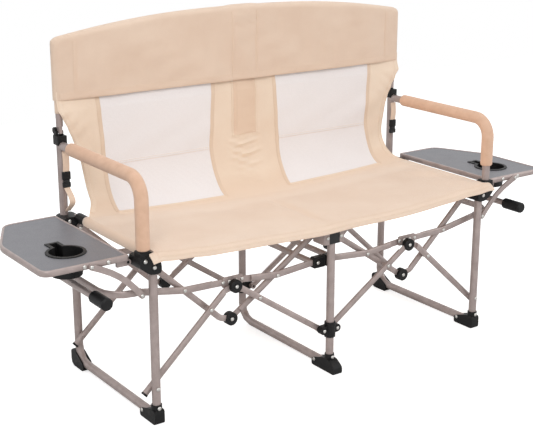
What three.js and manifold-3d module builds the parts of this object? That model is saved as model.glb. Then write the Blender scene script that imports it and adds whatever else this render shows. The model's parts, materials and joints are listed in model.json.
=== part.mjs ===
// Folding camping loveseat: double scissor frame, slide posts, lock levers and two folding side tables.
// Millimetres, +Y to the back, +Z up. The origin is on the floor under the middle of the seat.
// Pieces are drawn for the left front quarter and mirrored to the others.
import * as THREE from 'three';
import { mergeVertices } from 'three/addons/utils/BufferGeometryUtils.js';
import Module from 'manifold-3d';

const wasm = await Module();
wasm.setup();

// Frame tubes
const LEG_SPAN = 1064; // between the axes of the left and right legs
const LEG_DEPTH = 414; // between the axes of the front and rear legs
const GAP = 0.4; // running clearance
const TUBE_R = 11;
const TUBE_WALL = 1.4;
const POST_R = 9; // slide posts and seat rails
const RUNNER_Z = 18; // axis of the floor tube
const RUNNER_BEND = 45;
const LEG_TOP_Z = 385.6;
const CENTRE_LEG_TOP_Z = 360;
const POST_FOOT_Z = 200; // lower end of the slide posts
const TUBE_SIDES = 10;

// Scissor pivots, seen from the front
const LOWER_PIVOT_Z = 91; // on the side legs
const UPPER_PIVOT_Z = 405; // on the front and rear brackets
const CENTRE_PIVOT_Z = 118; // on the sleeves of the centre legs
const CENTRE_PIVOT_X = 22;
const CROSS_REACH = 171; // from a side leg to its crossing
const HUB_REACH = 73.5; // from a crossing to the hub line
const HUB_RISE = 47; // hubs above and below mid height
const BRACE_WIDTH = 17;
const BRACE_THICK = 12;
const BRACE_BEND = 22;
const BRACE_TAIL = 28; // lower brace beyond its leg pivot
const BRACE_OFFSET = 4; // from the leg to the lower braces
const EYE_R = 8.5;
const HUB_R = 13;
const HUB_LAP = 34; // flattened length at a hub
const HUB_TURN = 8; // height of the bend beside a hub
const PIN_R = 3.2;
const HOLE_R = 3.8;
const BOSS_R = 7;
const ROUND_SIDES = 10;

// Lock levers, links and table struts
const KNUCKLE_REACH = 71; // from the crossing to where lever and link meet
const KNUCKLE_Z = 306;
const LEVER_PIVOT_REACH = 67; // from the crossing, along X
const LEVER_OUT_Z = 332;
const LEVER_CORNER = 24; // outside the leg axis
const LEVER_OUT = 96;
const LEVER_BEND = 62;
const BAR_HEIGHT = 18;
const BAR_THICK = 9;
const BAR_OFFSET = 0.8; // from the lower braces to the bars
const KNUCKLE_LAP = 58;
const COUPLER_LENGTH = 60;
const COUPLER_HEIGHT = 26;
const LINK_PIVOT_REACH = 64; // from the inner crossing, along X
const LINK_INNER_X = -34;
const LINK_INNER_Z = 303;
const LINK_TUBE_R = 8;
const HANDLE_OUT = 140;
const HANDLE_Z = 348;
const HANDLE_ROOT_Y = 60;
const HANDLE_TURN_Y = 15;
const HANDLE_R = 9;
const HANDLE_BEND = 20;
const GRIP_R = 15.5;
const GRIP_FRONT = 39; // beyond the leg axis
const GRIP_END = 5; // closed end of the grip
const GRIP_CHAMFER = 2.5;
const GRIP_LENGTH = 66;
const STRUT_FOOT = 26; // outside the leg axis
const STRUT_FOOT_Z = 332;
const STRUT_TOP = 153;
const STRUT_TOP_Z = 428;
const STRUT_THICK = 5;
const STRUT_WIDTH = 15;
const STRUT_BOW = 12;
const STRUT_PIN_R = 4;

// Brackets, arms and seat
const BRACKET_INNER = 16; // inside the leg axis
const BRACKET_OUTER = 42; // outside the leg axis
const BRACKET_FRONT = 16; // beyond the leg axis
const BRACKET_BASE_Z = 386;
const BRACKET_TOP_Z = 432;
const BRACKET_CORNER = 9;
const BRACKET_WALL = 3; // behind the rear posts
const BRACKET_LOBE = 24; // height of the lobe at the arm
const BRACKET_TRIM = 8; // trimmed corner beside the seat
const RAIL_SLEEVE_R = 13;
const RAIL_SLEEVE_LENGTH = 42; // in front of the rear brackets
const FIN_WALL = 4; // round the arm tube
const FIN_TOP_Z = 444;
const ARM_OUT = 24; // outside the leg axis
const ARM_Z = 615;
const ARM_BEND = 50;
const ARM_FOOT_Z = 396;
const ARM_POST_TOP_Z = 632;
const PAD_R = 17;
const PAD_FOOT_Z = 446;
const PAD_REAR = 57; // in front of the rear post axis
const RAIL_Z = 427;
const RAIL_BEND = 30;
const SEAT_EDGE_CLEAR = 1; // beside the fins of the brackets
const SEAT_OVERHANG = 29; // in front of the leg axis
const SEAT_SAG = 24;
const SEAT_HEM_DROP = 17; // at the sides
const SEAT_HEM_EASE = 0.65; // share of the drop that the sag takes up in the middle
const SEAT_CLEAR = 1; // above the rails
const CLOTH = 4;

// Side tables
const TABLE_TOP_Z = 436;
const TABLE_THICK = 12;
const TABLE_INNER = 56; // outside the leg axis
const TABLE_WIDTH = 215;
const TABLE_CUT_WIDTH = 72; // cut corner at the rear
const TABLE_CUT_LENGTH = 150;
const TABLE_FRONT = 12; // behind the front leg axis
const TABLE_REAR = 15; // in front of the rear leg axis
const TABLE_CORNER = 26;
const TABLE_HINGE = 52; // outside the leg axis
const TABLE_HINGE_Z = 416;
const TABLE_LUG_R = 8;
const TABLE_LUG_THICK = 7;
const TABLE_EAR_THICK = 9.2;
const STRUT_CLEAR = 2; // in front of the table edge
const CUP_IN = 108; // from the inner edge of the table
const CUP_BACK = 103; // from its front edge
const CUP_R = 43;
const CUP_FOOT_R = 37;
const CUP_DEPTH = 54;
const CUP_WALL = 2.4;
const CUP_RIM = 6;
const CUP_LIP = 2.5;
const SLOT_WIDTH = 24;
const SLOT_LENGTH = 30; // mug handle slot behind the cup
const CUP_SIDES = 18;

// Back
const HINGE_BACK = 15; // hinge pin behind the post axis
const HINGE_Z = 652;
const HINGE_EYE_R = 8.6;
const HINGE_HALF_X = 13;
const HINGE_BLOCK_TOP_Z = 641;
const HINGE_BLOCK_HEIGHT = 24;
const LUG_THICK = 8;
const CHEEK_THICK = 6;
const UPRIGHT_R = 9;
const UPRIGHT_FOOT_Z = 664;
const SIDE_UPRIGHT_TOP_Z = 866;
const CENTRE_UPRIGHT_TOP_Z = 922;
const BACK_CROWN_Z = 936;
const BACK_CORNER_Z = 875;
const BACK_OVER = 10; // beyond the upright axes
const BACK_SHOULDER_Z = 712;
const BACK_WAIST_IN = 76; // inside the upright axes, beside the arms
const BACK_WAIST_Z = 590;
const SWEEP_DEPTH = 92; // where the back curves forward into the seat
const SWEEP_TOP_Z = 560;
const SWEEP_NARROW = 0.45; // share of the curve that draws in to the waist
const BACK_CLOTH = 6;

// Feet, sleeves and caps
const FOOT_WIDTH = 28;
const FOOT_SOCKET = 18; // from the leg axis to the end of the floor tube
const FOOT_TOE = 14; // in front of the leg axis
const CENTRE_FOOT_TOE = 38;
const FOOT_HEEL = 60; // behind the leg axis
const FOOT_HEIGHT = 30;
const FOOT_TOE_HEIGHT = 20;
const FOOT_COLLAR_R = 13.6;
const FOOT_COLLAR_Z = 49;
const FOOT_SOLE = 6;
const REAR_FOOT_FRONT = 46; // in front of the rear leg axis
const REAR_FOOT_BACK = 23;
const REAR_FOOT_HEIGHT = 46;
const REAR_FOOT_CUT = 10; // cut off the lower rear corner
const FOOT_CORNER = 6;
const FOOT_LIP = 2; // feet above the axis of the floor tube
const SLEEVE_R = 15.5;
const SLEEVE_EAR_R = 11;
const SLEEVE_EAR_FRONT = 6; // in front of the leg axis
const SLEEVE_Z0 = 98;
const SLEEVE_Z1 = 140;
const SLEEVE_BACK = 14.5;
const CAP_HALF_X = 34;
const CAP_HEIGHT = 32;
const CAP_FRONT = 14;
const CENTRE_RAIL_Z = 385;
const CENTRE_RAIL_R = 8;

const finish = (color, roughness, metalness) => new THREE.MeshStandardMaterial({ color, roughness, metalness });
const TAUPE = finish(0x94867f, 0.42, 0.5);
const BLACK = finish(0x1d1c1d, 0.55, 0.0);
const FOAM = finish(0xd9ae8b, 0.9, 0.0);
const GREY = finish(0x96969b, 0.5, 0.1);
const BEIGE = finish(0xe6cfb6, 0.95, 0.0);

// Places worked out from the sizes above
const legX = -LEG_SPAN / 2;
const legY = -LEG_DEPTH / 2;
const bore = TUBE_R - TUBE_WALL;
const midZ = (LOWER_PIVOT_Z + UPPER_PIVOT_Z) / 2;
const lowerY = legY + TUBE_R + BRACE_OFFSET + BRACE_THICK / 2;
const barY = lowerY + BRACE_THICK / 2 + BAR_OFFSET + BAR_THICK / 2;
const upperY = barY + BAR_THICK / 2 + BAR_OFFSET + GAP + BRACE_THICK / 2;
const barFront = barY - BAR_THICK / 2;
const barBack = barY + BAR_THICK / 2;
const upperFront = upperY - BRACE_THICK / 2;
const upperBack = upperY + BRACE_THICK / 2;
const bracketBack = upperFront - GAP;
const bracketInnerX = legX + BRACKET_INNER;
const bracketOuterX = legX - BRACKET_OUTER;
const armX = legX - ARM_OUT;
const padRearY = -legY - PAD_REAR;
const leverCornerX = legX - LEVER_CORNER;
const leverOutX = legX - LEVER_OUT;
const handleX = legX - HANDLE_OUT;
const gripFrontY = legY - GRIP_FRONT;
const tableInnerX = legX - TABLE_INNER;
const tableOuterX = tableInnerX - TABLE_WIDTH;
const tableFrontY = legY + TABLE_FRONT;
const tableRearY = -legY - TABLE_REAR;
const tableLugY1 = bracketBack - TABLE_EAR_THICK - GAP;
const tableLugY0 = tableLugY1 - TABLE_LUG_THICK;
const strutY = tableFrontY - GAP - STRUT_CLEAR - STRUT_THICK / 2;
const cupX = tableInnerX - CUP_IN;
const cupY = tableFrontY + CUP_BACK;
const seatFrontY = legY - SEAT_OVERHANG;
const spot = (x, z) => ({ x, z });
const crossX = legX + CROSS_REACH;
const innerCrossX = crossX + 2 * HUB_REACH;
const legPivot = spot(legX, LOWER_PIVOT_Z);
const bracketPivot = spot(legX, UPPER_PIVOT_Z);
const crossing = spot(crossX, midZ);
const upperHub = spot(crossX + HUB_REACH, midZ + HUB_RISE);
const lowerHub = spot(crossX + HUB_REACH, midZ - HUB_RISE);
const innerCrossing = spot(innerCrossX, midZ);
const sleevePivot = spot(-CENTRE_PIVOT_X, CENTRE_PIVOT_Z);
const capPivot = spot(-CENTRE_PIVOT_X, 2 * midZ - CENTRE_PIVOT_Z);
const along = (a, b, x) => spot(x, a.z + ((b.z - a.z) * (x - a.x)) / (b.x - a.x));
const leverPivot = along(crossing, bracketPivot, crossX - LEVER_PIVOT_REACH);
const linkPivot = along(innerCrossing, capPivot, innerCrossX + LINK_PIVOT_REACH);
const knuckle = spot(crossX + KNUCKLE_REACH, KNUCKLE_Z);
const tableHinge = spot(legX - TABLE_HINGE, TABLE_HINGE_Z);
const strutFoot = spot(legX - STRUT_FOOT, STRUT_FOOT_Z);
const strutTop = spot(legX - STRUT_TOP, STRUT_TOP_Z);
const hingeY = -legY + HINGE_BACK;
const backFaceY = -legY - UPRIGHT_R - GAP - BACK_CLOTH;
const finHalf = TUBE_R + FIN_WALL;
const seatEdgeX = -armX - finHalf - SEAT_EDGE_CLEAR;

const at = (x, y, z) => new THREE.Vector3(x, y, z);
const flat = (pairs) => pairs.map(([a, b]) => new THREE.Vector2(a, b));
const SIDE_X = at(1, 0, 0);
const SIDE_Y = at(0, 1, 0);
const SIDE_Z = at(0, 0, 1);

// Straight runs joined by round bends in one plane; side is square to that plane.
class BentPath extends THREE.Curve {
  constructor(corners, bend, side, bendSteps) {
    super();
    this.side = side;
    this.points = [corners[0].clone()];
    this.tangents = [corners[1].clone().sub(corners[0]).normalize()];
    for (let i = 1; i < corners.length - 1; i += 1) {
      this.addBend(corners[i - 1], corners[i], corners[i + 1], bend, bendSteps);
    }
    const end = corners[corners.length - 1];
    this.points.push(end.clone());
    this.tangents.push(end.clone().sub(corners[corners.length - 2]).normalize());
    this.steps = this.points.length - 1;
  }

  addBend(before, corner, after, bend, bendSteps) {
    const into = corner.clone().sub(before).normalize();
    const out = after.clone().sub(corner).normalize();
    const turn = into.angleTo(out);
    if (turn < 0.01) return;
    const start = corner.clone().addScaledVector(into, -bend * Math.tan(turn / 2));
    const inward = out.clone().addScaledVector(into, -out.dot(into)).normalize();
    const centre = start.clone().addScaledVector(inward, bend);
    for (let k = 0; k <= bendSteps; k += 1) {
      const a = (turn * k) / bendSteps;
      const spoke = inward.clone().multiplyScalar(-Math.cos(a)).addScaledVector(into, Math.sin(a));
      this.points.push(centre.clone().addScaledVector(spoke, bend));
      this.tangents.push(into.clone().multiplyScalar(Math.cos(a)).addScaledVector(inward, Math.sin(a)));
    }
  }

  getPointAt(u) {
    return this.points[Math.round(u * this.steps)].clone();
  }

  getTangentAt(u) {
    return this.tangents[Math.round(u * this.steps)].clone();
  }

  computeFrenetFrames() {
    const normals = this.tangents.map(() => this.side.clone());
    const binormals = this.tangents.map((t) => t.clone().cross(this.side));
    return { tangents: this.tangents, normals, binormals };
  }
}

function ring(radius, sides = TUBE_SIDES) {
  const points = [];
  for (let i = 0; i < sides; i += 1) {
    const a = (2 * Math.PI * (i + 0.5)) / sides;
    points.push(new THREE.Vector2(radius * Math.cos(a), radius * Math.sin(a)));
  }
  return points;
}

function tubeSection(radius, hollow) {
  const shape = new THREE.Shape(ring(radius));
  if (hollow > 0) shape.holes.push(new THREE.Path(ring(hollow).reverse()));
  return shape;
}

// A flat oval, first size across the path's plane, second size in it
function ovalSection(across, within) {
  const r = Math.min(across, within) / 2;
  const straight = Math.max(across, within) / 2 - r;
  const points = [];
  for (const end of [1, -1]) {
    for (let k = 0; k <= 3; k += 1) {
      const a = (Math.PI * k) / 3;
      const thin = end * r * Math.cos(a);
      const tall = end * (straight + r * Math.sin(a));
      points.push(across < within ? new THREE.Vector2(thin, tall) : new THREE.Vector2(-tall, thin));
    }
  }
  return new THREE.Shape(points);
}

function roundedOutline(corners, radius) {
  const shape = new THREE.Shape();
  corners.forEach((corner, i) => {
    const before = corners[(i + corners.length - 1) % corners.length];
    const after = corners[(i + 1) % corners.length];
    const into = before.clone().sub(corner).setLength(radius).add(corner);
    const out = after.clone().sub(corner).setLength(radius).add(corner);
    if (i === 0) shape.moveTo(into.x, into.y);
    else shape.lineTo(into.x, into.y);
    shape.quadraticCurveTo(corner.x, corner.y, out.x, out.y);
  });
  shape.closePath();
  return shape;
}

function solid(geometry) {
  const bare = geometry.index ? geometry.toNonIndexed() : geometry.clone();
  bare.deleteAttribute('normal');
  bare.deleteAttribute('uv');
  const merged = mergeVertices(bare, 1e-3);
  const vertProperties = new Float32Array(merged.attributes.position.array);
  const triVerts = new Uint32Array(merged.index.array);
  return new wasm.Manifold(new wasm.Mesh({ numProp: 3, vertProperties, triVerts }));
}

function geometryOf(body) {
  const mesh = body.getMesh();
  const geometry = new THREE.BufferGeometry();
  geometry.setAttribute('position', new THREE.BufferAttribute(new Float32Array(mesh.vertProperties), 3));
  geometry.setIndex(new THREE.BufferAttribute(new Uint32Array(mesh.triVerts), 1));
  geometry.computeVertexNormals();
  return geometry;
}

const sweep = (corners, bend, side, section, bendSteps = 3) => {
  const extrudePath = new BentPath(corners, bend, side, bendSteps);
  return solid(new THREE.ExtrudeGeometry(section, { extrudePath, steps: extrudePath.steps, bevelEnabled: false }));
};
const tube = (corners, bend, side, radius, hollow = 0) => sweep(corners, bend, side, tubeSection(radius, hollow));
const box = (x0, x1, y0, y1, z0, z1) =>
  solid(new THREE.BoxGeometry(x1 - x0, y1 - y0, z1 - z0).translate((x0 + x1) / 2, (y0 + y1) / 2, (z0 + z1) / 2));
const roundY = (r, { x, z }, y0, y1, sides = ROUND_SIDES) =>
  solid(new THREE.CylinderGeometry(r, r, y1 - y0, sides).translate(x, (y0 + y1) / 2, z));
const roundX = (r, y, z, x0, x1, sides = ROUND_SIDES) =>
  solid(new THREE.CylinderGeometry(r, r, x1 - x0, sides).rotateZ(Math.PI / 2).translate((x0 + x1) / 2, y, z));
const upright = (r, x, y, z0, z1, hollow = 0) => tube([at(x, y, z0), at(x, y, z1)], 1, SIDE_X, r, hollow);
const join = (...bodies) => bodies.reduce((a, b) => a.add(b));
const cut = (body, ...tools) => tools.reduce((a, b) => a.subtract(b), body);

// An outline in X and Y raised along Z
const raise = (shape, z0, z1, curveSegments = 3) =>
  solid(new THREE.ExtrudeGeometry(shape, { depth: z1 - z0, bevelEnabled: false, curveSegments }).translate(0, 0, z0));
// An outline in X and Z drawn out along Y
const drawn = (shape, y0, y1, curveSegments = 3) =>
  solid(
    new THREE.ExtrudeGeometry(shape, { depth: y1 - y0, bevelEnabled: false, curveSegments })
      .rotateX(Math.PI / 2)
      .translate(0, y1, 0),
  );
// An outline in Y and Z drawn out along X
const sideOn = new THREE.Matrix4().makeBasis(SIDE_Y, SIDE_Z, SIDE_X);
const drawnX = (shape, x0, x1, curveSegments = 2) =>
  solid(
    new THREE.ExtrudeGeometry(shape, { depth: x1 - x0, bevelEnabled: false, curveSegments })
      .applyMatrix4(sideOn)
      .translate(x0, 0, 0),
  );
const block = (x0, x1, y0, y1, z0, z1, radius) =>
  raise(roundedOutline(flat([[x0, y0], [x1, y0], [x1, y1], [x0, y1]]), radius), z0, z1);
const slab = (x0, x1, y0, y1, z0, z1, radius) =>
  drawn(roundedOutline(flat([[x0, z0], [x1, z0], [x1, z1], [x0, z1]]), radius), y0, y1);

// Legs and feet
const runner = (x, radius, hollow, topZ) =>
  tube(
    [at(x, legY + FOOT_SOCKET + GAP, RUNNER_Z), at(x, -legY, RUNNER_Z), at(x, -legY, topZ)],
    RUNNER_BEND,
    SIDE_X,
    radius,
    hollow,
  );
const legPin = (x) => roundY(PIN_R, spot(x, LOWER_PIVOT_Z), legY - TUBE_R / 2, lowerY + BRACE_THICK / 2);
const rearPin = (x) => roundY(PIN_R, spot(x, LOWER_PIVOT_Z), -lowerY - BRACE_THICK / 2, -legY + TUBE_R / 2);
const frontLeg = (x, topZ) => upright(TUBE_R, x, legY, FOOT_SOLE + GAP, topZ, bore);

// Front foot: a wedge from the collar of the leg down to the floor tube
function frontFoot(x, toe) {
  const half = FOOT_WIDTH / 2;
  const heelY = legY + FOOT_HEEL;
  const side = flat([
    [legY - toe, 0],
    [heelY, 0],
    [heelY, RUNNER_Z + FOOT_LIP],
    [legY + FOOT_COLLAR_R, FOOT_HEIGHT + FOOT_CORNER],
    [legY - FOOT_COLLAR_R, FOOT_HEIGHT + FOOT_CORNER],
    [legY - toe, FOOT_TOE_HEIGHT],
  ]);
  const boot = join(
    drawnX(roundedOutline(side, FOOT_CORNER), x - half, x + half),
    upright(FOOT_COLLAR_R, x, legY, FOOT_SOLE, FOOT_COLLAR_Z),
  );
  const socket = upright(TUBE_R + GAP, x, legY, FOOT_SOLE, FOOT_COLLAR_Z + 1);
  const channel = tube([at(x, legY + FOOT_SOCKET, RUNNER_Z), at(x, heelY + 1, RUNNER_Z)], 1, SIDE_X, TUBE_R + GAP);
  const mouth = box(x - TUBE_R, x + TUBE_R, legY + FOOT_SOCKET + TUBE_R, heelY + 1, RUNNER_Z, FOOT_HEIGHT + FOOT_CORNER);
  return cut(boot, socket, channel, mouth);
}

// Rear foot: a wedge under the bend of the floor tube
function rearFoot(x) {
  const half = FOOT_WIDTH / 2;
  const y0 = -legY - REAR_FOOT_FRONT;
  const y1 = -legY + REAR_FOOT_BACK;
  const side = flat([
    [y0, 0],
    [y1 - REAR_FOOT_CUT, 0],
    [y1, REAR_FOOT_CUT],
    [y1, REAR_FOOT_HEIGHT],
    [-legY, REAR_FOOT_HEIGHT],
    [y0, RUNNER_Z + FOOT_LIP],
  ]);
  const boot = drawnX(roundedOutline(side, FOOT_CORNER), x - half, x + half, 1);
  const mouth = box(x - TUBE_R, x + TUBE_R, y0 - 1, -legY - TUBE_R / 2, RUNNER_Z, REAR_FOOT_HEIGHT + 1);
  return cut(boot, runner(x, TUBE_R + GAP, 0, LEG_TOP_Z), mouth);
}

// Scissor braces, with a flattened half lap at each hub
const hubTurn = (a, far, hub) => {
  const z = hub.z + Math.sign(a.z - hub.z) * HUB_TURN;
  return spot(a.x + ((z - a.z) * (far.x - a.x)) / (far.z - a.z), z);
};
const brace = (y, stops) =>
  sweep(stops.map(({ x, z }) => at(x, y, z)), BRACE_BEND, SIDE_Y, ovalSection(BRACE_THICK, BRACE_WIDTH), 2);
const eye = (p, y, r = EYE_R) => roundY(r, p, y - BRACE_THICK / 2, y + BRACE_THICK / 2);
const hole = (p, y) => roundY(HOLE_R, p, y - BRACE_THICK, y + BRACE_THICK);
const frontHalf = (p, y) => roundY(HUB_LAP, p, y - BRACE_THICK, y + GAP / 2, 12);
const rearHalf = (p, y) => roundY(HUB_LAP, p, y - GAP / 2, y + BRACE_THICK, 12);
const crossPin = (p) =>
  join(roundY(BOSS_R, p, lowerY, upperFront - GAP), roundY(PIN_R, p, lowerY, upperBack));

function lowerOuterBrace() {
  const run = new THREE.Vector2(legPivot.x - crossing.x, legPivot.z - crossing.z).setLength(BRACE_TAIL);
  const tail = spot(legPivot.x + run.x, legPivot.z + run.y);
  const bar = join(
    brace(lowerY, [tail, crossing, hubTurn(crossing, legPivot, upperHub), upperHub]),
    eye(upperHub, lowerY, HUB_R),
    roundY(BOSS_R, legPivot, legY + TUBE_R + GAP, lowerY),
  );
  return join(cut(bar, hole(legPivot, lowerY), frontHalf(upperHub, lowerY), hole(upperHub, lowerY)), crossPin(crossing));
}

function lowerInnerBrace() {
  const bar = join(
    brace(lowerY, [sleevePivot, innerCrossing, hubTurn(innerCrossing, sleevePivot, upperHub), upperHub]),
    eye(sleevePivot, lowerY),
    eye(upperHub, lowerY, HUB_R),
  );
  const hubPin = roundY(PIN_R, upperHub, lowerY - BRACE_THICK / 2, lowerY + BRACE_THICK / 2);
  return join(cut(bar, hole(sleevePivot, lowerY), rearHalf(upperHub, lowerY)), hubPin, crossPin(innerCrossing));
}

function upperOuterBrace() {
  const bar = join(
    brace(upperY, [bracketPivot, crossing, hubTurn(crossing, bracketPivot, lowerHub), lowerHub]),
    eye(bracketPivot, upperY),
    eye(lowerHub, upperY, HUB_R),
  );
  return cut(
    bar,
    hole(bracketPivot, upperY),
    hole(crossing, upperY),
    hole(leverPivot, upperY),
    rearHalf(lowerHub, upperY),
  );
}

function upperInnerBrace() {
  const bar = join(
    brace(upperY, [capPivot, innerCrossing, hubTurn(innerCrossing, capPivot, lowerHub), lowerHub]),
    eye(capPivot, upperY),
    eye(lowerHub, upperY, HUB_R),
  );
  return cut(
    bar,
    hole(capPivot, upperY),
    hole(innerCrossing, upperY),
    hole(linkPivot, upperY),
    frontHalf(lowerHub, upperY),
  );
}

// Lock lever: a bar round the outside of both legs, a handle beside it and a coupler plate at the knuckle
const mirrored = (body) => body.mirror([0, 1, 0]);
const upBar = ovalSection(BAR_THICK, BAR_HEIGHT);
const barPin = (p) => roundY(PIN_R, p, barY, upperBack);

function lockLever() {
  const run = [knuckle, leverPivot, spot(leverCornerX, LEVER_OUT_Z)].map(({ x, z }) => at(x, barY, z));
  const arm = join(
    sweep(run, BRACE_BEND, SIDE_Y, upBar, 2),
    slab(
      knuckle.x - COUPLER_LENGTH / 2,
      knuckle.x + COUPLER_LENGTH / 2,
      barFront,
      barBack,
      knuckle.z - COUPLER_HEIGHT / 2,
      knuckle.z + COUPLER_HEIGHT / 2,
      4,
    ),
  );
  const lapped = join(cut(arm, roundY(KNUCKLE_LAP, knuckle, barY - GAP / 2, barBack + 1, 24)), barPin(leverPivot));
  const loop = sweep(
    [
      at(leverCornerX + BAR_HEIGHT / 2, barY, LEVER_OUT_Z),
      at(leverOutX, barY, LEVER_OUT_Z),
      at(leverOutX, -barY, LEVER_OUT_Z),
      at(leverCornerX + BAR_HEIGHT / 2, -barY, LEVER_OUT_Z),
    ],
    LEVER_BEND,
    SIDE_Z,
    ovalSection(BAR_HEIGHT, BAR_THICK),
    4,
  );
  const root = at(leverOutX, HANDLE_ROOT_Y, LEVER_OUT_Z);
  const turn = at(handleX, HANDLE_TURN_Y, HANDLE_Z);
  const end = at(handleX, gripFrontY + GRIP_END + GAP, HANDLE_Z);
  const handleSide = turn.clone().sub(root).cross(end.clone().sub(turn)).normalize();
  const handle = tube([root, turn, end], HANDLE_BEND, handleSide, HANDLE_R);
  const strutPin = roundY(STRUT_PIN_R, strutFoot, strutY - STRUT_THICK / 2, barY);
  return join(lapped, mirrored(lapped), loop, handle, strutPin);
}

function leverGrip() {
  const axis = spot(handleX, HANDLE_Z);
  const y1 = gripFrontY + GRIP_LENGTH;
  const sleeve = join(
    roundY(GRIP_R, axis, gripFrontY + GRIP_CHAMFER, y1, 12),
    roundY(GRIP_R - GRIP_CHAMFER, axis, gripFrontY, y1, 12),
  );
  return cut(sleeve, roundY(HANDLE_R + GAP * 2, axis, gripFrontY + GRIP_END, y1 + 1, 12));
}

function lockLink() {
  const stops = [knuckle, spot(linkPivot.x, linkPivot.z + 2), spot(LINK_INNER_X, LINK_INNER_Z)];
  const arm = sweep(stops.map(({ x, z }) => at(x, barY, z)), BRACE_BEND, SIDE_Y, upBar, 2);
  const tip = roundY(BAR_HEIGHT / 2, knuckle, barFront, barBack);
  const lapped = cut(join(arm, tip), roundY(KNUCKLE_LAP, knuckle, barFront - 1, barY + GAP / 2, 24));
  const side = join(lapped, barPin(linkPivot));
  return join(side, mirrored(side), roundY(LINK_TUBE_R, spot(LINK_INNER_X, LINK_INNER_Z), barFront, -barFront));
}

// Table strut: a bowed flat link in front of the table edge
function tableStrut() {
  const foot = strutFoot;
  const top = strutTop;
  const run = new THREE.Vector2(top.x - foot.x, top.z - foot.z);
  const across = new THREE.Vector2(run.y, -run.x).normalize();
  const upper = [];
  const lower = [];
  for (let i = 0; i <= 6; i += 1) {
    const t = i / 6;
    const bow = STRUT_BOW * Math.sin(Math.PI * t);
    const mid = new THREE.Vector2(foot.x, foot.z).addScaledVector(run, t).addScaledVector(across, bow);
    upper.push(mid.clone().addScaledVector(across, STRUT_WIDTH / 2));
    lower.push(mid.clone().addScaledVector(across, -STRUT_WIDTH / 2));
  }
  const shape = new THREE.Shape([...upper, ...lower.reverse()]);
  const y0 = strutY - STRUT_THICK / 2;
  const y1 = strutY + STRUT_THICK / 2;
  const ends = [foot, top].map((p) => roundY(STRUT_WIDTH / 2, p, y0, y1));
  return cut(join(drawn(shape, y0, y1), ...ends), roundY(STRUT_PIN_R + GAP * 1.5, foot, y0 - 1, y1 + 1));
}

// Seat rail: one tube up out of the front leg, back along the seat and down into the rear leg
const railPath = () => [
  at(legX, legY, POST_FOOT_Z),
  at(legX, legY, RAIL_Z),
  at(legX, -legY, RAIL_Z),
  at(legX, -legY, POST_FOOT_Z),
];
const seatRail = () => tube(railPath(), RAIL_BEND, SIDE_X, POST_R, POST_R - TUBE_WALL);
const railClear = () => tube(railPath(), RAIL_BEND, SIDE_X, POST_R + GAP);

// Arm: front post, arm rail and rear post
const armPath = () => [at(armX, legY, ARM_FOOT_Z), at(armX, legY, ARM_Z), at(armX, -legY, ARM_Z)];
const armTube = () =>
  join(tube(armPath(), ARM_BEND, SIDE_X, TUBE_R), upright(TUBE_R, armX, -legY, ARM_FOOT_Z, ARM_POST_TOP_Z));
const armPad = () =>
  tube(
    [at(armX, legY, PAD_FOOT_Z), at(armX, legY, ARM_Z), at(armX, padRearY, ARM_Z)],
    ARM_BEND,
    SIDE_X,
    PAD_R,
    TUBE_R + GAP,
  );

// Corner brackets hold the arm, the seat rail, the scissor pivot and the table hinge
const tableEar = () => {
  const y0 = tableLugY1 + GAP;
  return join(
    roundY(TABLE_LUG_R, tableHinge, y0, bracketBack),
    slab(
      tableHinge.x,
      bracketOuterX + BRACKET_CORNER,
      y0,
      bracketBack,
      tableHinge.z - TABLE_LUG_R,
      tableHinge.z + TABLE_LUG_R,
      1,
    ),
    roundY(PIN_R, tableHinge, tableLugY0, bracketBack),
  );
};
const armClear = (y) => upright(TUBE_R + GAP, armX, y, ARM_FOOT_Z - GAP, ARM_Z);

// Two lobes, one round the arm and one over the leg, drawn out along Y
const bracketLobes = (y0, y1) =>
  drawn(
    roundedOutline(
      flat([
        [legX - TUBE_R - BRACKET_WALL, BRACKET_BASE_Z],
        [bracketInnerX, BRACKET_BASE_Z],
        [bracketInnerX, BRACKET_BASE_Z + BRACKET_LOBE],
        [bracketInnerX - BRACKET_TRIM, BRACKET_TOP_Z],
        [bracketOuterX, BRACKET_TOP_Z],
        [bracketOuterX, BRACKET_TOP_Z - BRACKET_LOBE],
      ]),
      BRACKET_CORNER,
    ),
    y0,
    y1,
    2,
  );

function frontBracket() {
  const body = join(
    bracketLobes(legY - BRACKET_FRONT, bracketBack),
    slab(
      armX - finHalf,
      armX + finHalf,
      legY - BRACKET_FRONT + 1,
      legY + BRACKET_FRONT - 1,
      BRACKET_TOP_Z - BRACKET_LOBE,
      FIN_TOP_Z,
      4,
    ),
  );
  const held = cut(body, railClear(), armClear(legY));
  return join(held, roundY(PIN_R, bracketPivot, bracketBack - 1, upperBack), tableEar());
}

function rearBracket() {
  const railAxis = spot(legX, RAIL_Z);
  const body = join(
    bracketLobes(-bracketBack, -legY + TUBE_R + BRACKET_WALL),
    roundY(RAIL_SLEEVE_R, railAxis, -bracketBack - RAIL_SLEEVE_LENGTH, -bracketBack + 1),
  );
  const held = cut(body, railClear(), armClear(-legY));
  const pin = mirrored(roundY(PIN_R, bracketPivot, bracketBack - 1, upperBack));
  return join(held, pin, mirrored(tableEar()));
}

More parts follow.
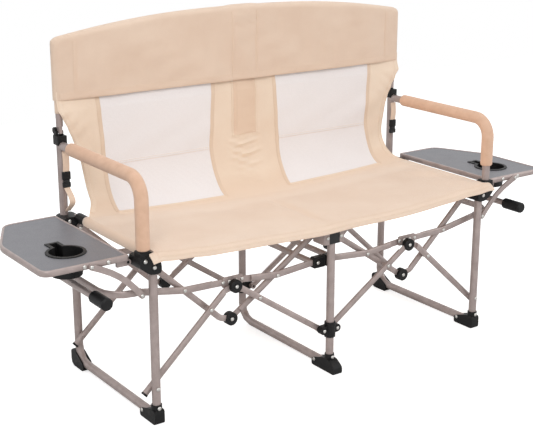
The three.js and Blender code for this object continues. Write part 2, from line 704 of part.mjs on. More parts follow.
// Side table and cup holder
function tableTop() {
  const outline = roundedOutline(
    flat([
      [tableInnerX, tableFrontY],
      [tableOuterX, tableFrontY],
      [tableOuterX, tableRearY - TABLE_CUT_LENGTH],
      [tableOuterX + TABLE_CUT_WIDTH, tableRearY],
      [tableInnerX, tableRearY],
    ]).reverse(),
    TABLE_CORNER,
  );
  const base = TABLE_TOP_Z - TABLE_THICK;
  const lug = join(
    roundY(TABLE_LUG_R, tableHinge, tableLugY0, tableLugY1),
    slab(
      tableInnerX - TABLE_CORNER,
      tableHinge.x,
      tableLugY0,
      tableLugY1,
      tableHinge.z - TABLE_LUG_R,
      base + TABLE_THICK / 2,
      1,
    ),
  );
  const ear = cut(lug, roundY(HOLE_R, tableHinge, tableLugY0 - 1, tableLugY1 + 1));
  const top = join(raise(outline, base, TABLE_TOP_Z, 4), ear, mirrored(ear));
  return cut(
    top,
    lathe([[0, base - 1], [CUP_R + GAP, base - 1], [CUP_R + GAP, TABLE_TOP_Z + 1], [0, TABLE_TOP_Z + 1]]),
    slotBox(GAP, base - 1, TABLE_TOP_Z + 1),
  );
}

function lathe(profile) {
  const turned = new THREE.LatheGeometry(flat(profile), CUP_SIDES);
  return solid(turned.rotateX(Math.PI / 2).translate(cupX, cupY, 0));
}

const slotBox = (grow, z0, z1) =>
  box(
    cupX - SLOT_WIDTH / 2 - grow,
    cupX + SLOT_WIDTH / 2 + grow,
    cupY,
    cupY + CUP_R + SLOT_LENGTH + grow,
    z0,
    z1,
  );

function cupHolder() {
  const rimZ = TABLE_TOP_Z + GAP / 2;
  const footZ = TABLE_TOP_Z - CUP_DEPTH;
  const skirtZ = TABLE_TOP_Z - TABLE_THICK;
  const outer = join(
    lathe([[0, footZ], [CUP_FOOT_R, footZ], [CUP_R, skirtZ], [CUP_R, rimZ + 1], [0, rimZ + 1]]),
    lathe([[0, rimZ], [CUP_R + CUP_RIM, rimZ], [CUP_R + CUP_RIM - 1, rimZ + CUP_LIP], [0, rimZ + CUP_LIP]]),
    slotBox(0, footZ + CUP_DEPTH / 4, rimZ + 1),
    slotBox(CUP_RIM, rimZ, rimZ + CUP_LIP),
  );
  const inner = lathe([
    [0, footZ + CUP_WALL],
    [CUP_FOOT_R - CUP_WALL, footZ + CUP_WALL],
    [CUP_R - CUP_WALL, skirtZ],
    [CUP_R - CUP_WALL, rimZ + CUP_LIP + 1],
    [0, rimZ + CUP_LIP + 1],
  ]);
  return cut(outer, inner, slotBox(-CUP_WALL, footZ + CUP_DEPTH / 4 + CUP_WALL, rimZ + CUP_LIP + 1));
}

// Back hinges and uprights
function hingeBlock(x, frontY) {
  const half = LUG_THICK / 2 + GAP;
  const body = block(
    x - HINGE_HALF_X,
    x + HINGE_HALF_X,
    frontY,
    hingeY + 2,
    HINGE_BLOCK_TOP_Z - HINGE_BLOCK_HEIGHT,
    HINGE_BLOCK_TOP_Z,
    3,
  );
  const cheeks = [-1, 1].map((s) => {
    const a = x + s * half;
    const b = x + s * (half + CHEEK_THICK);
    const x0 = Math.min(a, b);
    const x1 = Math.max(a, b);
    return join(
      roundX(HINGE_EYE_R, hingeY, HINGE_Z, x0, x1),
      box(x0, x1, hingeY - HINGE_EYE_R * 1.6, hingeY + 1, HINGE_BLOCK_TOP_Z - 4, HINGE_Z),
    );
  });
  return join(body, ...cheeks, roundX(PIN_R, hingeY, HINGE_Z, x - half - 1, x + half + 1));
}
const backHinge = () =>
  cut(
    hingeBlock(armX, -legY - TUBE_R - 3),
    upright(TUBE_R + GAP, armX, -legY, ARM_FOOT_Z, ARM_POST_TOP_Z + GAP),
    tube(armPath(), ARM_BEND, SIDE_X, TUBE_R + GAP),
  );

function backUpright(x, topZ) {
  const x0 = x - LUG_THICK / 2;
  const x1 = x + LUG_THICK / 2;
  const lug = join(
    roundX(HINGE_EYE_R, hingeY, HINGE_Z, x0, x1),
    box(x0, x1, -legY - UPRIGHT_R + 2, hingeY - 4, HINGE_Z - 6, UPRIGHT_FOOT_Z + 10),
  );
  const pole = upright(UPRIGHT_R, x, -legY, UPRIGHT_FOOT_Z, topZ);
  return cut(join(pole, lug), roundX(HOLE_R, hingeY, HINGE_Z, x0 - 1, x1 + 1));
}

// Centre sleeve, caps, rail and rear post
function sleeve() {
  const y0 = legY - SLEEVE_EAR_FRONT;
  const y1 = legY + SLEEVE_BACK;
  const ears = [-1, 1].map((s) => roundY(SLEEVE_EAR_R, spot(s * sleevePivot.x, sleevePivot.z), y0, y1));
  const web = box(
    sleevePivot.x,
    -sleevePivot.x,
    y0,
    y1,
    sleevePivot.z - SLEEVE_EAR_R,
    sleevePivot.z + SLEEVE_EAR_R,
  );
  const body = join(upright(SLEEVE_R, 0, legY, SLEEVE_Z0, SLEEVE_Z1), web, ...ears);
  const pins = [-1, 1].map((s) =>
    roundY(PIN_R, spot(s * sleevePivot.x, sleevePivot.z), y1 - 1, lowerY + BRACE_THICK / 2),
  );
  return join(cut(body, upright(TUBE_R + GAP, 0, legY, SLEEVE_Z0 - 1, SLEEVE_Z1 + 1)), ...pins);
}

const capBase = CENTRE_LEG_TOP_Z + GAP;
function centreCap() {
  const pins = [-1, 1].map((s) => roundY(PIN_R, spot(s * capPivot.x, capPivot.z), bracketBack - 1, upperBack));
  return join(
    block(-CAP_HALF_X, CAP_HALF_X, legY - CAP_FRONT, bracketBack, capBase, capBase + CAP_HEIGHT, 7),
    upright(POST_R, 0, legY, POST_FOOT_Z, capBase + 1),
    ...pins,
  );
}

const centreRail = () =>
  join(centreCap(), roundY(CENTRE_RAIL_R, spot(0, CENTRE_RAIL_Z), bracketBack - 1, -bracketBack - GAP));
const centreRearPost = () =>
  join(mirrored(centreCap()), upright(POST_R, 0, -legY, capBase, HINGE_BLOCK_TOP_Z - 2), hingeBlock(0, -legY - POST_R));

// Soft forms: a closed sheet from a front surface and its thickness direction
function sheet(columns, rows, place) {
  const positions = [];
  const index = [];
  const stride = columns + 1;
  const layer = stride * (rows + 1);
  for (const back of [0, 1]) {
    for (let j = 0; j <= rows; j += 1) {
      for (let i = 0; i <= columns; i += 1) {
        positions.push(...place((2 * i) / columns - 1, j / rows, back));
      }
    }
  }
  const quad = (a, b, c, d) => index.push(a, b, c, a, c, d);
  for (let j = 0; j < rows; j += 1) {
    for (let i = 0; i < columns; i += 1) {
      const a = j * stride + i;
      quad(a, a + 1, a + 1 + stride, a + stride);
      quad(layer + a, layer + a + stride, layer + a + stride + 1, layer + a + 1);
    }
  }
  for (let i = 0; i < columns; i += 1) {
    const top = rows * stride + i;
    quad(layer + i, layer + i + 1, i + 1, i);
    quad(top, top + 1, layer + top + 1, layer + top);
  }
  for (let j = 0; j < rows; j += 1) {
    const a = j * stride;
    const b = a + columns;
    quad(a, a + stride, layer + a + stride, layer + a);
    quad(layer + b, layer + b + stride, b + stride, b);
  }
  const geometry = new THREE.BufferGeometry();
  geometry.setAttribute('position', new THREE.BufferAttribute(new Float32Array(positions), 3));
  geometry.setIndex(index);
  geometry.computeVertexNormals();
  return geometry;
}

// Half width of the back at a height: drawn in beside the arms, straight above the shoulders
const backWaist = -armX - BACK_WAIST_IN;
function backHalf(z) {
  const rise = THREE.MathUtils.clamp((z - BACK_WAIST_Z) / (BACK_SHOULDER_Z - BACK_WAIST_Z), 0, 1);
  return backWaist + (BACK_WAIST_IN + BACK_OVER) * rise ** 1.8;
}

// Rows of the seat cloth from the front hem up to the hinge line: depth, height, half width, share of
// the sag, slope and hem drop. Behind the seat it follows a quarter of an ellipse up to the back.
const seatTopZ = RAIL_Z + POST_R + SEAT_CLEAR + CLOTH;
const sweepY = backFaceY - SWEEP_DEPTH;
const hingeLine = HINGE_Z - 2;
const seatRows = [];
for (const past of [1, 0.5, 0]) {
  const y = legY + (seatFrontY - legY) * past;
  seatRows.push([y, seatTopZ, seatEdgeX, 1, 0, SEAT_HEM_DROP * past ** 3]);
}
for (const t of [0.15, 0.45, 0.75, 1]) {
  seatRows.push([legY + (sweepY - legY) * t, seatTopZ, seatEdgeX, 1, 0]);
}
for (const t of [0.12, 0.24, 0.36, 0.48, 0.6, 0.73, 0.86, 1]) {
  const turn = (t * Math.PI) / 2;
  const rise = SWEEP_TOP_Z - seatTopZ;
  const narrow = THREE.MathUtils.smoothstep(t, 0, SWEEP_NARROW);
  seatRows.push([
    sweepY + SWEEP_DEPTH * Math.sin(turn),
    SWEEP_TOP_Z - rise * Math.cos(turn),
    seatEdgeX + (backWaist - seatEdgeX) * narrow,
    (1 - t) ** 1.5,
    Math.atan2(rise * Math.sin(turn), SWEEP_DEPTH * Math.cos(turn)),
  ]);
}
for (const t of [0.33, 0.67, 1]) {
  const z = SWEEP_TOP_Z + (hingeLine - SWEEP_TOP_Z) * t;
  seatRows.push([backFaceY, z, backHalf(z), 0, Math.PI / 2]);
}
function seatPlace(u, v, under) {
  const [y, z, half, sag, slope, drop = 0] = seatRows[Math.round(v * (seatRows.length - 1))];
  const x = u * half;
  const hang = Math.max(0, 1 - (x / legX) ** 2);
  const thick = under ? CLOTH + (BACK_CLOTH - CLOTH) * Math.sin(slope) : 0;
  const top = z - SEAT_SAG * hang * sag - drop * (1 - SEAT_HEM_EASE * hang);
  return [x, y + thick * Math.sin(slope), top - thick * Math.cos(slope)];
}

// Upper back panel with an arched top edge, on the hinged uprights
const backFootZ = hingeLine + GAP;
function backPlace(u, v, behind) {
  const low = backFootZ + (BACK_CORNER_Z - backFootZ) * v;
  const rise = (BACK_CROWN_Z - BACK_CORNER_Z) * v * v;
  const z = low + rise * Math.cos((Math.PI / 2) * Math.abs(u) ** 1.25);
  return [u * backHalf(low), backFaceY + (behind ? BACK_CLOTH : 0), z];
}

// Assembly
const loveseat = new THREE.Group();
loveseat.name = 'folding_loveseat';

function add(parent, name, geometry, material) {
  const mesh = new THREE.Mesh(geometry, material.clone());
  mesh.name = name;
  parent.add(mesh);
}

const shapes = {
  lower_outer_brace: geometryOf(lowerOuterBrace()),
  lower_inner_brace: geometryOf(lowerInnerBrace()),
  upper_outer_brace: geometryOf(upperOuterBrace()),
  upper_inner_brace: geometryOf(upperInnerBrace()),
};
const sidePieces = [
  ['leg_frame', geometryOf(join(runner(legX, TUBE_R, bore, LEG_TOP_Z), rearPin(legX))), TAUPE],
  ['front_leg', geometryOf(join(frontLeg(legX, LEG_TOP_Z), legPin(legX))), TAUPE],
  ['front_foot', geometryOf(frontFoot(legX, FOOT_TOE)), BLACK],
  ['rear_foot', geometryOf(rearFoot(legX)), BLACK],
  ['arm_tube', geometryOf(armTube()), TAUPE],
  ['arm_foam', geometryOf(armPad()), FOAM],
  ['front_bracket', geometryOf(frontBracket()), BLACK],
  ['rear_bracket', geometryOf(rearBracket()), BLACK],
  ['seat_rail', geometryOf(seatRail()), TAUPE],
  ['back_hinge', geometryOf(backHinge()), BLACK],
  ['back_upright', geometryOf(backUpright(armX, SIDE_UPRIGHT_TOP_Z)), TAUPE],
  ['lock_lever', geometryOf(lockLever()), TAUPE],
  ['lever_grip', geometryOf(leverGrip()), BLACK],
  ['lock_link', geometryOf(lockLink()), TAUPE],
  ['table_top', geometryOf(tableTop()), GREY],
  ['cup_holder', geometryOf(cupHolder()), BLACK],
  ['table_strut', geometryOf(tableStrut()), TAUPE],
];

for (const [side, flip] of [['left', 1], ['right', -1]]) {
  const group = new THREE.Group();
  group.name = `${side}_side`;
  group.scale.x = flip;
  for (const [name, geometry, material] of sidePieces) add(group, `${side}_${name}`, geometry, material);
  for (const [end, turn] of [['front', 1], ['rear', -1]]) {
    const row = new THREE.Group();
    row.name = `${side}_${end}_scissor`;
    row.scale.y = turn;
    for (const name of Object.keys(shapes)) add(row, `${side}_${end}_${name}`, shapes[name], TAUPE);
    group.add(row);
  }
  loveseat.add(group);
}

add(loveseat, 'centre_leg_frame', geometryOf(runner(0, TUBE_R, bore, CENTRE_LEG_TOP_Z)), TAUPE);
add(loveseat, 'centre_front_leg', geometryOf(frontLeg(0, CENTRE_LEG_TOP_Z)), TAUPE);
add(loveseat, 'centre_front_foot', geometryOf(frontFoot(0, CENTRE_FOOT_TOE)), BLACK);
add(loveseat, 'centre_front_sleeve', geometryOf(sleeve()), BLACK);
add(loveseat, 'centre_rear_sleeve', geometryOf(mirrored(sleeve())), BLACK);
add(loveseat, 'centre_rail', geometryOf(centreRail()), TAUPE);
add(loveseat, 'centre_rear_post', geometryOf(centreRearPost()), TAUPE);
add(loveseat, 'centre_back_upright', geometryOf(backUpright(0, CENTRE_UPRIGHT_TOP_Z)), TAUPE);
add(loveseat, 'seat_fabric', sheet(14, seatRows.length - 1, seatPlace), BEIGE);
add(loveseat, 'back_fabric', sheet(14, 6, backPlace), BEIGE);

export default loveseat;
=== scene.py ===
"""Looks of a folding camping loveseat: cloth, padded arms, rivets, straps and table edges.

Metres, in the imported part's own frame: +X to the right, +Y to the back, +Z up, floor at z = 0.
"""

import json
import math
from collections import defaultdict

import bmesh
import bpy
import numpy as np
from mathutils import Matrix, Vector


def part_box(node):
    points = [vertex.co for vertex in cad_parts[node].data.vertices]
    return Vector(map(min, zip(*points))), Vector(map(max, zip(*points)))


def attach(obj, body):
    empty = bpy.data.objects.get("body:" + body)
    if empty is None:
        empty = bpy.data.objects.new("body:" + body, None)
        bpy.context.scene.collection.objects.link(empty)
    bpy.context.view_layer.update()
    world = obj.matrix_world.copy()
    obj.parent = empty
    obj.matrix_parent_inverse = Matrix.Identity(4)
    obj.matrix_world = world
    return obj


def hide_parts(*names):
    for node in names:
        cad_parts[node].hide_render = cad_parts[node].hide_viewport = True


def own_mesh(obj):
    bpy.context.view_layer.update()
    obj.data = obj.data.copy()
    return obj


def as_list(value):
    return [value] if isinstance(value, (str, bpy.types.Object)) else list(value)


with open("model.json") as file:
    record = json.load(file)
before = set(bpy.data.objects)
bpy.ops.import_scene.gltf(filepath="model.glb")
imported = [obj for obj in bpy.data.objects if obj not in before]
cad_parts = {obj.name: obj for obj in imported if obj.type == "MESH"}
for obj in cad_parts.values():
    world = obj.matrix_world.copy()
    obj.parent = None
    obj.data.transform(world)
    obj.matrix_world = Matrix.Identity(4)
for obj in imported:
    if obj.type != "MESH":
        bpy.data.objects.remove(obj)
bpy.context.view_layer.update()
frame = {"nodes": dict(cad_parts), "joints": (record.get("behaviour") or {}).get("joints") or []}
SIDES = (("left", 1), ("right", -1))
ENDS = (("front", 1), ("rear", -1))
UPRIGHTS = ["left_back_upright", "centre_back_upright", "right_back_upright"]
PIVOTS = {joint["name"]: Vector(joint["pos_m"]) for joint in frame["joints"] if "pos_m" in joint}

# Cloth: the seat runs back from the front hem, sweeps up and ends in the hood over the uprights
HEM_Y, LEG_Y = -0.249, -0.207
SEAT_TOP = 0.441
SEAT_SAG = 0.024
HEM_DROP, HEM_EASE = 0.017, 0.15
SEAT_HALF = 0.533
FLARE, FLARE_Y = 0.019, (-0.2255, -0.2195)
RAIL_X, RAIL_Z, RAIL_SLEEVE_R = 0.532, 0.4275, 0.0135
SWEEP_START_Y = 0.100
BACK_Y = 0.1916
SWEEP_TOP_Z = 0.560
HINGE_LINE_Z = 0.650
WAIST_HALF, WAIST_Z = 0.502, 0.500
SHOULDER_HALF, SHOULDER_Z = 0.566, 0.706
HOOD_HEM_Z = 0.732
HOOD_CORNER_Z, HOOD_CROWN_Z = 0.888, 0.934
UPRIGHT_X = 0.556
HOOD_EDGE_R = 0.0138
HOOD_HALF = UPRIGHT_X + HOOD_EDGE_R
HOOD_DEPTH = 0.0195
POST_Y = 0.207
CLOTH_THICK = 0.003
CLOTH_COLUMNS, SEAT_CELLS, BACK_CELLS = 224, 150, 24
STRIP_HALF = 0.040
SIDE_SEAM_X = 0.513

# Mesh windows: inner and outer edges at the hood, at the cross seam and at the seat
WINDOW_TOP_Z = 0.735
WINDOW_SEAM_Z = 0.551
WINDOW_FOOT_Y = 0.122
WINDOW_INNER = (0.101, 0.112, 0.107)
WINDOW_OUTER = (0.454, 0.442, 0.444)
TAPE_WIDTH = 0.012
# Painted light: along this stretch of the cloth the seat cloth's tint turns lighter, to brighten the
# lower back
PAINTED_LIGHT_RUN = (0.27, 0.43)
TAPE_RAISE = 0.0009
SHARP = math.radians(50)

# Hood, tapes and sleeves
GATHER_Z, SHOULDER_PULL_Z = 0.530, 0.675
HOOD_LAP = 0.022
HOOD_CLOTH, HOOD_FLAT = 0.002, 0.46
HOOD_FOLD = 0.012
HOOD_SEAM_TOP_Z, HOOD_STRIP_TOP_Z = 0.879, 0.918
PATCH_FOOT_Z = 0.577
TAPE_THICK, TAPE_CELLS, SEWN_SHARE = 0.0016, 4, 0.36
HEM_TAPE, HEM_INSET = 0.014, 0.009
FRONT_TAPE, FRONT_TAPE_RUN = 0.018, 0.013
WINDOW_TAPE, CROSS_SHORT = 0.008, 0.006
STRIP_TAPE = 0.007
HOOD_SEAM_TAPE, HOOD_STRIP_TAPE, HOOD_HEM_TAPE = 0.010, 0.008, 0.016
RAIL_SLEEVE_Y = (-0.154, 0.125)
UPRIGHT_SLEEVE_R, UPRIGHT_SLEEVE_Z = 0.0104, (0.698, 0.760)

# Arm pads
PAD_R, PAD_TOP, PAD_BEND, PAD_FILL = 0.0168, 0.017, 0.05, 0.9
PAD_LIFT = {"left": 0.0, "right": 0.040}

# Rivets: x is counted outwards from the middle
RIVET_R, RIVET_H = 0.0056, 0.0026
BORE_RIM = 0.0048
LEVER_PLATE_X, LEVER_PLATE_Z = 0.290, 0.307
LEVER_PLATE_STEPS = (-0.028, -0.0095, 0.0095, 0.028)
BRACKET_RIVETS = ((0.559, 0.422), (0.535, 0.403))
FOOT_FRONT_RIVET, FOOT_SIDE_RIVET = (-0.2, 0.0415), (-0.158, 0.018)
STRUT_TOP_X, STRUT_TOP_Z = 0.685, 0.428
TABLE_RIVETS_X, TABLE_RIVET_Z = (0.640, 0.700), 0.430

# Hubs, link ends and brace caps: y is counted outwards from the middle
HUB_R, HUB_SOFT, HUB_DISH = 0.017, 0.0016, 0.0009
CROSS_Z = 0.248
UPPER_HUB_Y, LOWER_HUB_Y = (0.1802, 0.1962), (0.1525, 0.1735)
LINK_END_X, LINK_END_Y, LINK_END_Z = (0.001, 0.038), (0.166, 0.186), (0.288, 0.318)
LINK_END_SHORT = 0.005
LINK_END_RIVET = (0.026, 0.1862, 0.303)
BRACE_Y, BRACE_REACH = 0.186, 0.026
CAP_THICK, CAP_TALL = 0.0136, 0.0186
CAP_RINGS = (0.0, 0.0008, 0.0042, 0.005)

# Straps and buckles
STRAP_X, STRAP_Y = 0.552, 0.191
STRAP_TOP_Z, STRAP_DROP, STRAP_BOW = 0.602, 0.056, 0.003
STRAP_WIDTH, STRAP_THICK = 0.018, 0.003
BUCKLE_THICK = 0.0085
BUCKLE = (
    ("socket", 0.527, 0.549, 0.023),
    ("waist", 0.519, 0.528, 0.016),
    ("prongs", 0.507, 0.520, 0.021),
)
LOOP_TOP_Z, LOOP_DROP, LOOP_REACH = 0.508, 0.064, 0.030
LOOP_WIDTH, LOOP_THICK = 0.016, 0.0025

# Tables and post heads
TABLE_EDGE = 0.0012
TABLE_INNER_X = 0.588
TABLE_CHAMFER_X, TABLE_CHAMFER_Y = 0.731, 0.042
TABLE_RADII = (0.004, 0.026, 0.026, 0.026, 0.004)
TABLE_THICK, TABLE_TAB_Z = 0.012, 0.4235
HEAD_Y, HEAD_Z = 0.16, (0.3590, 0.3935)

STITCH_LENGTH, STITCH_PITCH, STITCH_R = 0.0042, 0.0066, 0.00045

# Stage, light and camera
WHITE = (1, 1, 1, 1)
FLOOR_GLOW, WORLD_LIGHT = 0.62, 0.49
LIT_POINT = (0, 0, 0.4)
CAMERA_ANGLES = (35.3, 16.7)
CAMERA_TARGET, CAMERA_DISTANCE = (-0.0596, 0.0, 0.3939), 3.125
CAMERA_SENSOR = 36
CAMERA_LENS = 1157.1 / 533 * CAMERA_SENSOR

X_AXIS, Y_AXIS = Vector((1, 0, 0)), Vector((0, 1, 0))
FORWARD = (0, -1, 0)


def colour(red, green, blue):
    """Linear colour from 0 to 255 display values."""
    values = []
    for value in (red, green, blue):
        s = value / 255
        values.append(s / 12.92 if s <= 0.04045 else ((s + 0.055) / 1.055) ** 2.4)
    return (*values, 1.0)


def share(value):
    """A value held between 0 and 1."""
    return min(max(value, 0.0), 1.0)


def eased(value):
    """A share that starts and ends softly."""
    return value * value * (3 - 2 * value)


def bell(value, width, power=2):
    """1 at zero, falling off over a width."""
    return math.exp(-((value / width) ** power))


def wave(height, phase):
    """A swell between 0 and a height."""
    return height * (1 + math.sin(phase)) / 2


def set_input(tree, socket, value):
    """Links a socket to another one, or gives it a plain value."""
    if isinstance(value, bpy.types.NodeSocket):
        tree.links.new(value, socket)
    else:
        socket.default_value = value


def add_node(tree, kind, inputs=None, **settings):
    """A node with its settings made and its inputs linked or set."""
    made = tree.nodes.new(kind)
    for key, value in settings.items():
        setattr(made, key, value)
    for key, value in (inputs or {}).items():
        set_input(tree, made.inputs[key], value)
    return made


# Materials
class Shader:
    """A material under construction: nodes by type, links by socket."""

    def __init__(self, name, roughness, metallic=0.0):
        self.material = bpy.data.materials.new(name)
        self.material.use_nodes = True
        self.tree = self.material.node_tree
        self.surface = self.tree.nodes["Principled BSDF"]
        self.surface.inputs["Roughness"].default_value = roughness
        self.surface.inputs["Metallic"].default_value = metallic
        self.surface.inputs["Base Color"].default_value = (0.5, 0.5, 0.5, 1.0)

    def node(self, kind, inputs=None, **settings):
        return add_node(self.tree, kind, inputs, **settings)

    def coordinates(self, source="Object", scale=(1, 1, 1)):
        place = self.node("ShaderNodeTexCoord").outputs[source]
        return self.node("ShaderNodeMapping", {"Vector": place, "Scale": scale}).outputs["Vector"]

    def noise(self, vector, scale, detail=3.0, roughness=0.55):
        return self.node(
            "ShaderNodeTexNoise",
            {"Vector": vector, "Scale": scale, "Detail": detail, "Roughness": roughness},
        ).outputs["Fac"]

    def ramp(self, factor, stops):
        made = self.node("ShaderNodeValToRGB", {"Fac": factor})
        band = made.color_ramp
        while len(band.elements) < len(stops):
            band.elements.new(0.5)
        for element, (place, tint) in zip(band.elements, stops):
            element.position = place
            element.color = tint
        return made.outputs["Color"]

    def maths(self, operation, a, b=0.0):
        return self.node("ShaderNodeMath", {0: a, 1: b}, operation=operation).outputs["Value"]

    def blend(self, a, share_a, b, share_b):
        """Two heights added, each by its share."""
        return self.maths("ADD", self.maths("MULTIPLY", a, share_a), self.maths("MULTIPLY", b, share_b))

    def spread(self, factor, low, high, start=0.0, end=1.0):
        limits = {"From Min": start, "From Max": end, "To Min": low, "To Max": high}
        return self.node("ShaderNodeMapRange", {"Value": factor, **limits}).outputs["Result"]

    def base_colour(self, socket):
        self.tree.links.new(socket, self.surface.inputs["Base Color"])

    def roughness(self, socket):
        self.tree.links.new(socket, self.surface.inputs["Roughness"])

    def bump(self, height, strength, distance):
        inputs = {"Height": height, "Strength": strength, "Distance": distance}
        made = self.node("ShaderNodeBump", inputs)
        self.tree.links.new(made.outputs["Normal"], self.surface.inputs["Normal"])


def mix_tints(dark, light, low=0.3, high=0.7):
    return ((low, dark), (high, light))


def make_solid(name, roughness, tone, tints, gloss, grain=None, metallic=0.0, extra=None):
    """Tints by one noise, roughness by another and a fine grain; extra sets other sockets."""
    shader = Shader(name, roughness, metallic)
    place = shader.coordinates()
    shader.base_colour(shader.ramp(shader.noise(place, *tone), tints))
    scale, low, high = gloss
    shader.roughness(shader.spread(shader.noise(place, scale), low, high))
    if grain:
        noise, strength, depth = grain
        shader.bump(shader.noise(place, *noise), strength, depth)
    for socket, value in (extra or {}).items():
        shader.surface.inputs[socket].default_value = value
    return shader.material


def make_post_head():
    """Head of the centre posts: a black cap on its powder-coated wings."""
    shader = Shader("capped_post_head", 0.45)
    place = shader.coordinates()
    split = shader.node("ShaderNodeSeparateXYZ", {"Vector": place})
    aside = shader.maths("MULTIPLY", shader.maths("ABSOLUTE", split.outputs["X"]), 25)
    tints = mix_tints(colour(14, 14, 15), colour(166, 151, 147), 0.41, 0.43)
    shader.base_colour(shader.ramp(aside, tints))
    shader.roughness(shader.spread(shader.noise(place, 90), 0.36, 0.55))
    shader.bump(shader.noise(place, 1200, 3), 0.2, 0.0004)
    return shader.material


def make_arm_foam():
    """Tan closed-cell foam with open pores at the skin."""
    shader = Shader("tan_arm_foam", 0.85)
    place = shader.coordinates()
    pores = shader.node("ShaderNodeTexVoronoi", {"Vector": place, "Scale": 900}).outputs["Distance"]
    tints = mix_tints(colour(217, 177, 149), colour(227, 188, 161))
    shader.base_colour(shader.ramp(shader.noise(place, 45, 4), tints))
    shader.bump(pores, 0.35, 0.0006)
    shader.surface.inputs["Sheen Weight"].default_value = 0.2
    return shader.material


def weave_height(shader, place, threads):
    """Plain weave: warp and weft bands that take turns on top."""
    split = shader.node("ShaderNodeSeparateXYZ", {"Vector": place})
    across, along = (
        shader.maths("SINE", shader.maths("MULTIPLY", split.outputs[axis], threads)) for axis in "XY"
    )
    warp, weft = shader.maths("ABSOLUTE", across), shader.maths("ABSOLUTE", along)
    turn = shader.maths("SIGN", shader.maths("MULTIPLY", across, along))
    swap = shader.spread(turn, 0.0, 1.0, start=-1.0)
    return shader.blend(warp, swap, weft, shader.maths("SUBTRACT", 1.0, swap))


def make_cloth(name, dark, light, threads, depth, upper=None):
    """Woven polyester on the sheet's own UV map, in metres; upper gives lighter tints above the seat as
    painted light.
    """
    shader = Shader(name, 0.88)
    place = shader.coordinates("UV")
    weave = weave_height(shader, place, threads)
    cloud = shader.noise(place, 7, 4)
    slub = shader.noise(shader.coordinates("UV", (1.0, 14.0, 1.0)), 130, 2)
    thread = shader.blend(shader.blend(cloud, 0.6, slub, 0.4), 0.8, weave, 0.16)
    # Painted light: above the seat the tint is lifted to lighter stops, brightening the lower back
    # against the shade it gets
    if upper:
        along = shader.node("ShaderNodeSeparateXYZ", {"Vector": place}).outputs["Y"]
        rise = shader.spread(along, 0.0, 0.5, *PAINTED_LIGHT_RUN)
        tone = shader.maths("ADD", shader.maths("MULTIPLY", thread, 0.5), rise)
        stops = mix_tints(dark, light, 0.16, 0.34) + mix_tints(*upper, 0.66, 0.84)
        shader.base_colour(shader.ramp(tone, stops))
    else:
        shader.base_colour(shader.ramp(thread, mix_tints(dark, light, 0.32, 0.68)))
    shader.bump(shader.maths("ADD", weave, shader.maths("MULTIPLY", slub, 0.5)), 0.45, depth)
    shader.surface.inputs["Sheen Weight"].default_value = 0.25
    shader.surface.inputs["Sheen Roughness"].default_value = 0.5
    return shader.material


def make_mesh_cloth():
    """Off-white spacer mesh: rows of small round holes."""
    shader = Shader("off_white_mesh", 0.9)
    place = shader.coordinates("UV")
    cells = shader.node("ShaderNodeTexVoronoi", {"Vector": place, "Scale": 330, "Randomness": 0.18})
    hole = cells.outputs["Distance"]
    tints = mix_tints(colour(228, 221, 219), colour(243, 237, 236), 0.12, 0.34)
    shader.base_colour(shader.ramp(hole, (*tints, (0.7, colour(247, 242, 241)))))
    shader.bump(hole, 0.6, 0.0008)
    shader.surface.inputs["Sheen Weight"].default_value = 0.15
    return shader.material


# Satin taupe powder coat with a fine orange peel and faint scuffs
POWDER_COAT = make_solid(
    "taupe_powder_coat",
    0.4,
    (38, 4),
    mix_tints(colour(160, 145, 141), colour(178, 163, 159)),
    (120, 0.32, 0.5),
    ((1400, 2), 0.12, 0.0004),
    metallic=0.35,
    extra={"Coat Weight": 0.15},
)
# Moulded plastic with a fine grain
BLACK = make_solid(
    "black_moulded_plastic",
    0.5,
    (60,),
    mix_tints(colour(10, 10, 11), colour(19, 18, 19)),
    (90, 0.4, 0.6),
    ((1100, 4), 0.3, 0.0005),
    extra={"Specular IOR Level": 0.3},
)
# Grey laminate with a fine fleck
PANEL = make_solid(
    "grey_table_panel",
    0.42,
    (900, 2, 0.7),
    mix_tints(colour(106, 106, 112), colour(127, 127, 132), 0.35, 0.65),
    (30, 0.36, 0.5),
    ((900, 2, 0.7), 0.15, 0.0003),
)
# Bright rivet heads with fine turning marks
STEEL = make_solid(
    "bright_steel",
    0.3,
    (500,),
    mix_tints(colour(188, 186, 182), colour(222, 220, 216)),
    (800, 0.22, 0.42),
    metallic=1.0,
)
POST_HEAD = make_post_head()
FOAM = make_arm_foam()
BEIGE_TINTS = colour(230, 203, 180), colour(243, 221, 201)
# Painted light: a lighter copy of the beige cloth for the lower back and its tapes
PAINTED_LIGHT_TINTS = colour(239, 213, 189), colour(250, 231, 210)
# Painted shade: a darker copy of the beige cloth for the double-layered hood
SHADED_HOOD_TINTS = colour(226, 197, 174), colour(239, 215, 194)
CLOTH_WEAVE = 2600, 0.0005
BEIGE = make_cloth("beige_cloth", *BEIGE_TINTS, *CLOTH_WEAVE)
# Painted light: the lighter cloth for the tapes on the lower back
PAINTED_LIGHT_CLOTH = make_cloth("painted_light_cloth", *PAINTED_LIGHT_TINTS, *CLOTH_WEAVE)
# Seat and back cloth: beige on the seat, with painted light making the tint lighter above it
SEAT = make_cloth("seat_cloth", *BEIGE_TINTS, *CLOTH_WEAVE, PAINTED_LIGHT_TINTS)
# Painted shade: the hood's cloth, darker than the rest of the back
SHADED_HOOD_CLOTH = make_cloth("shaded_hood_cloth", *SHADED_HOOD_TINTS, *CLOTH_WEAVE)
TAPE = make_cloth("beige_tape", colour(229, 202, 177), colour(242, 219, 196), 1700, 0.0006)
THREAD = make_cloth("pale_thread", colour(232, 207, 184), colour(243, 223, 203), 3000, 0.0002)
PATCH = make_cloth("tan_patch", colour(230, 199, 173), colour(243, 217, 193), 2200, 0.0005)
MESH = make_mesh_cloth()


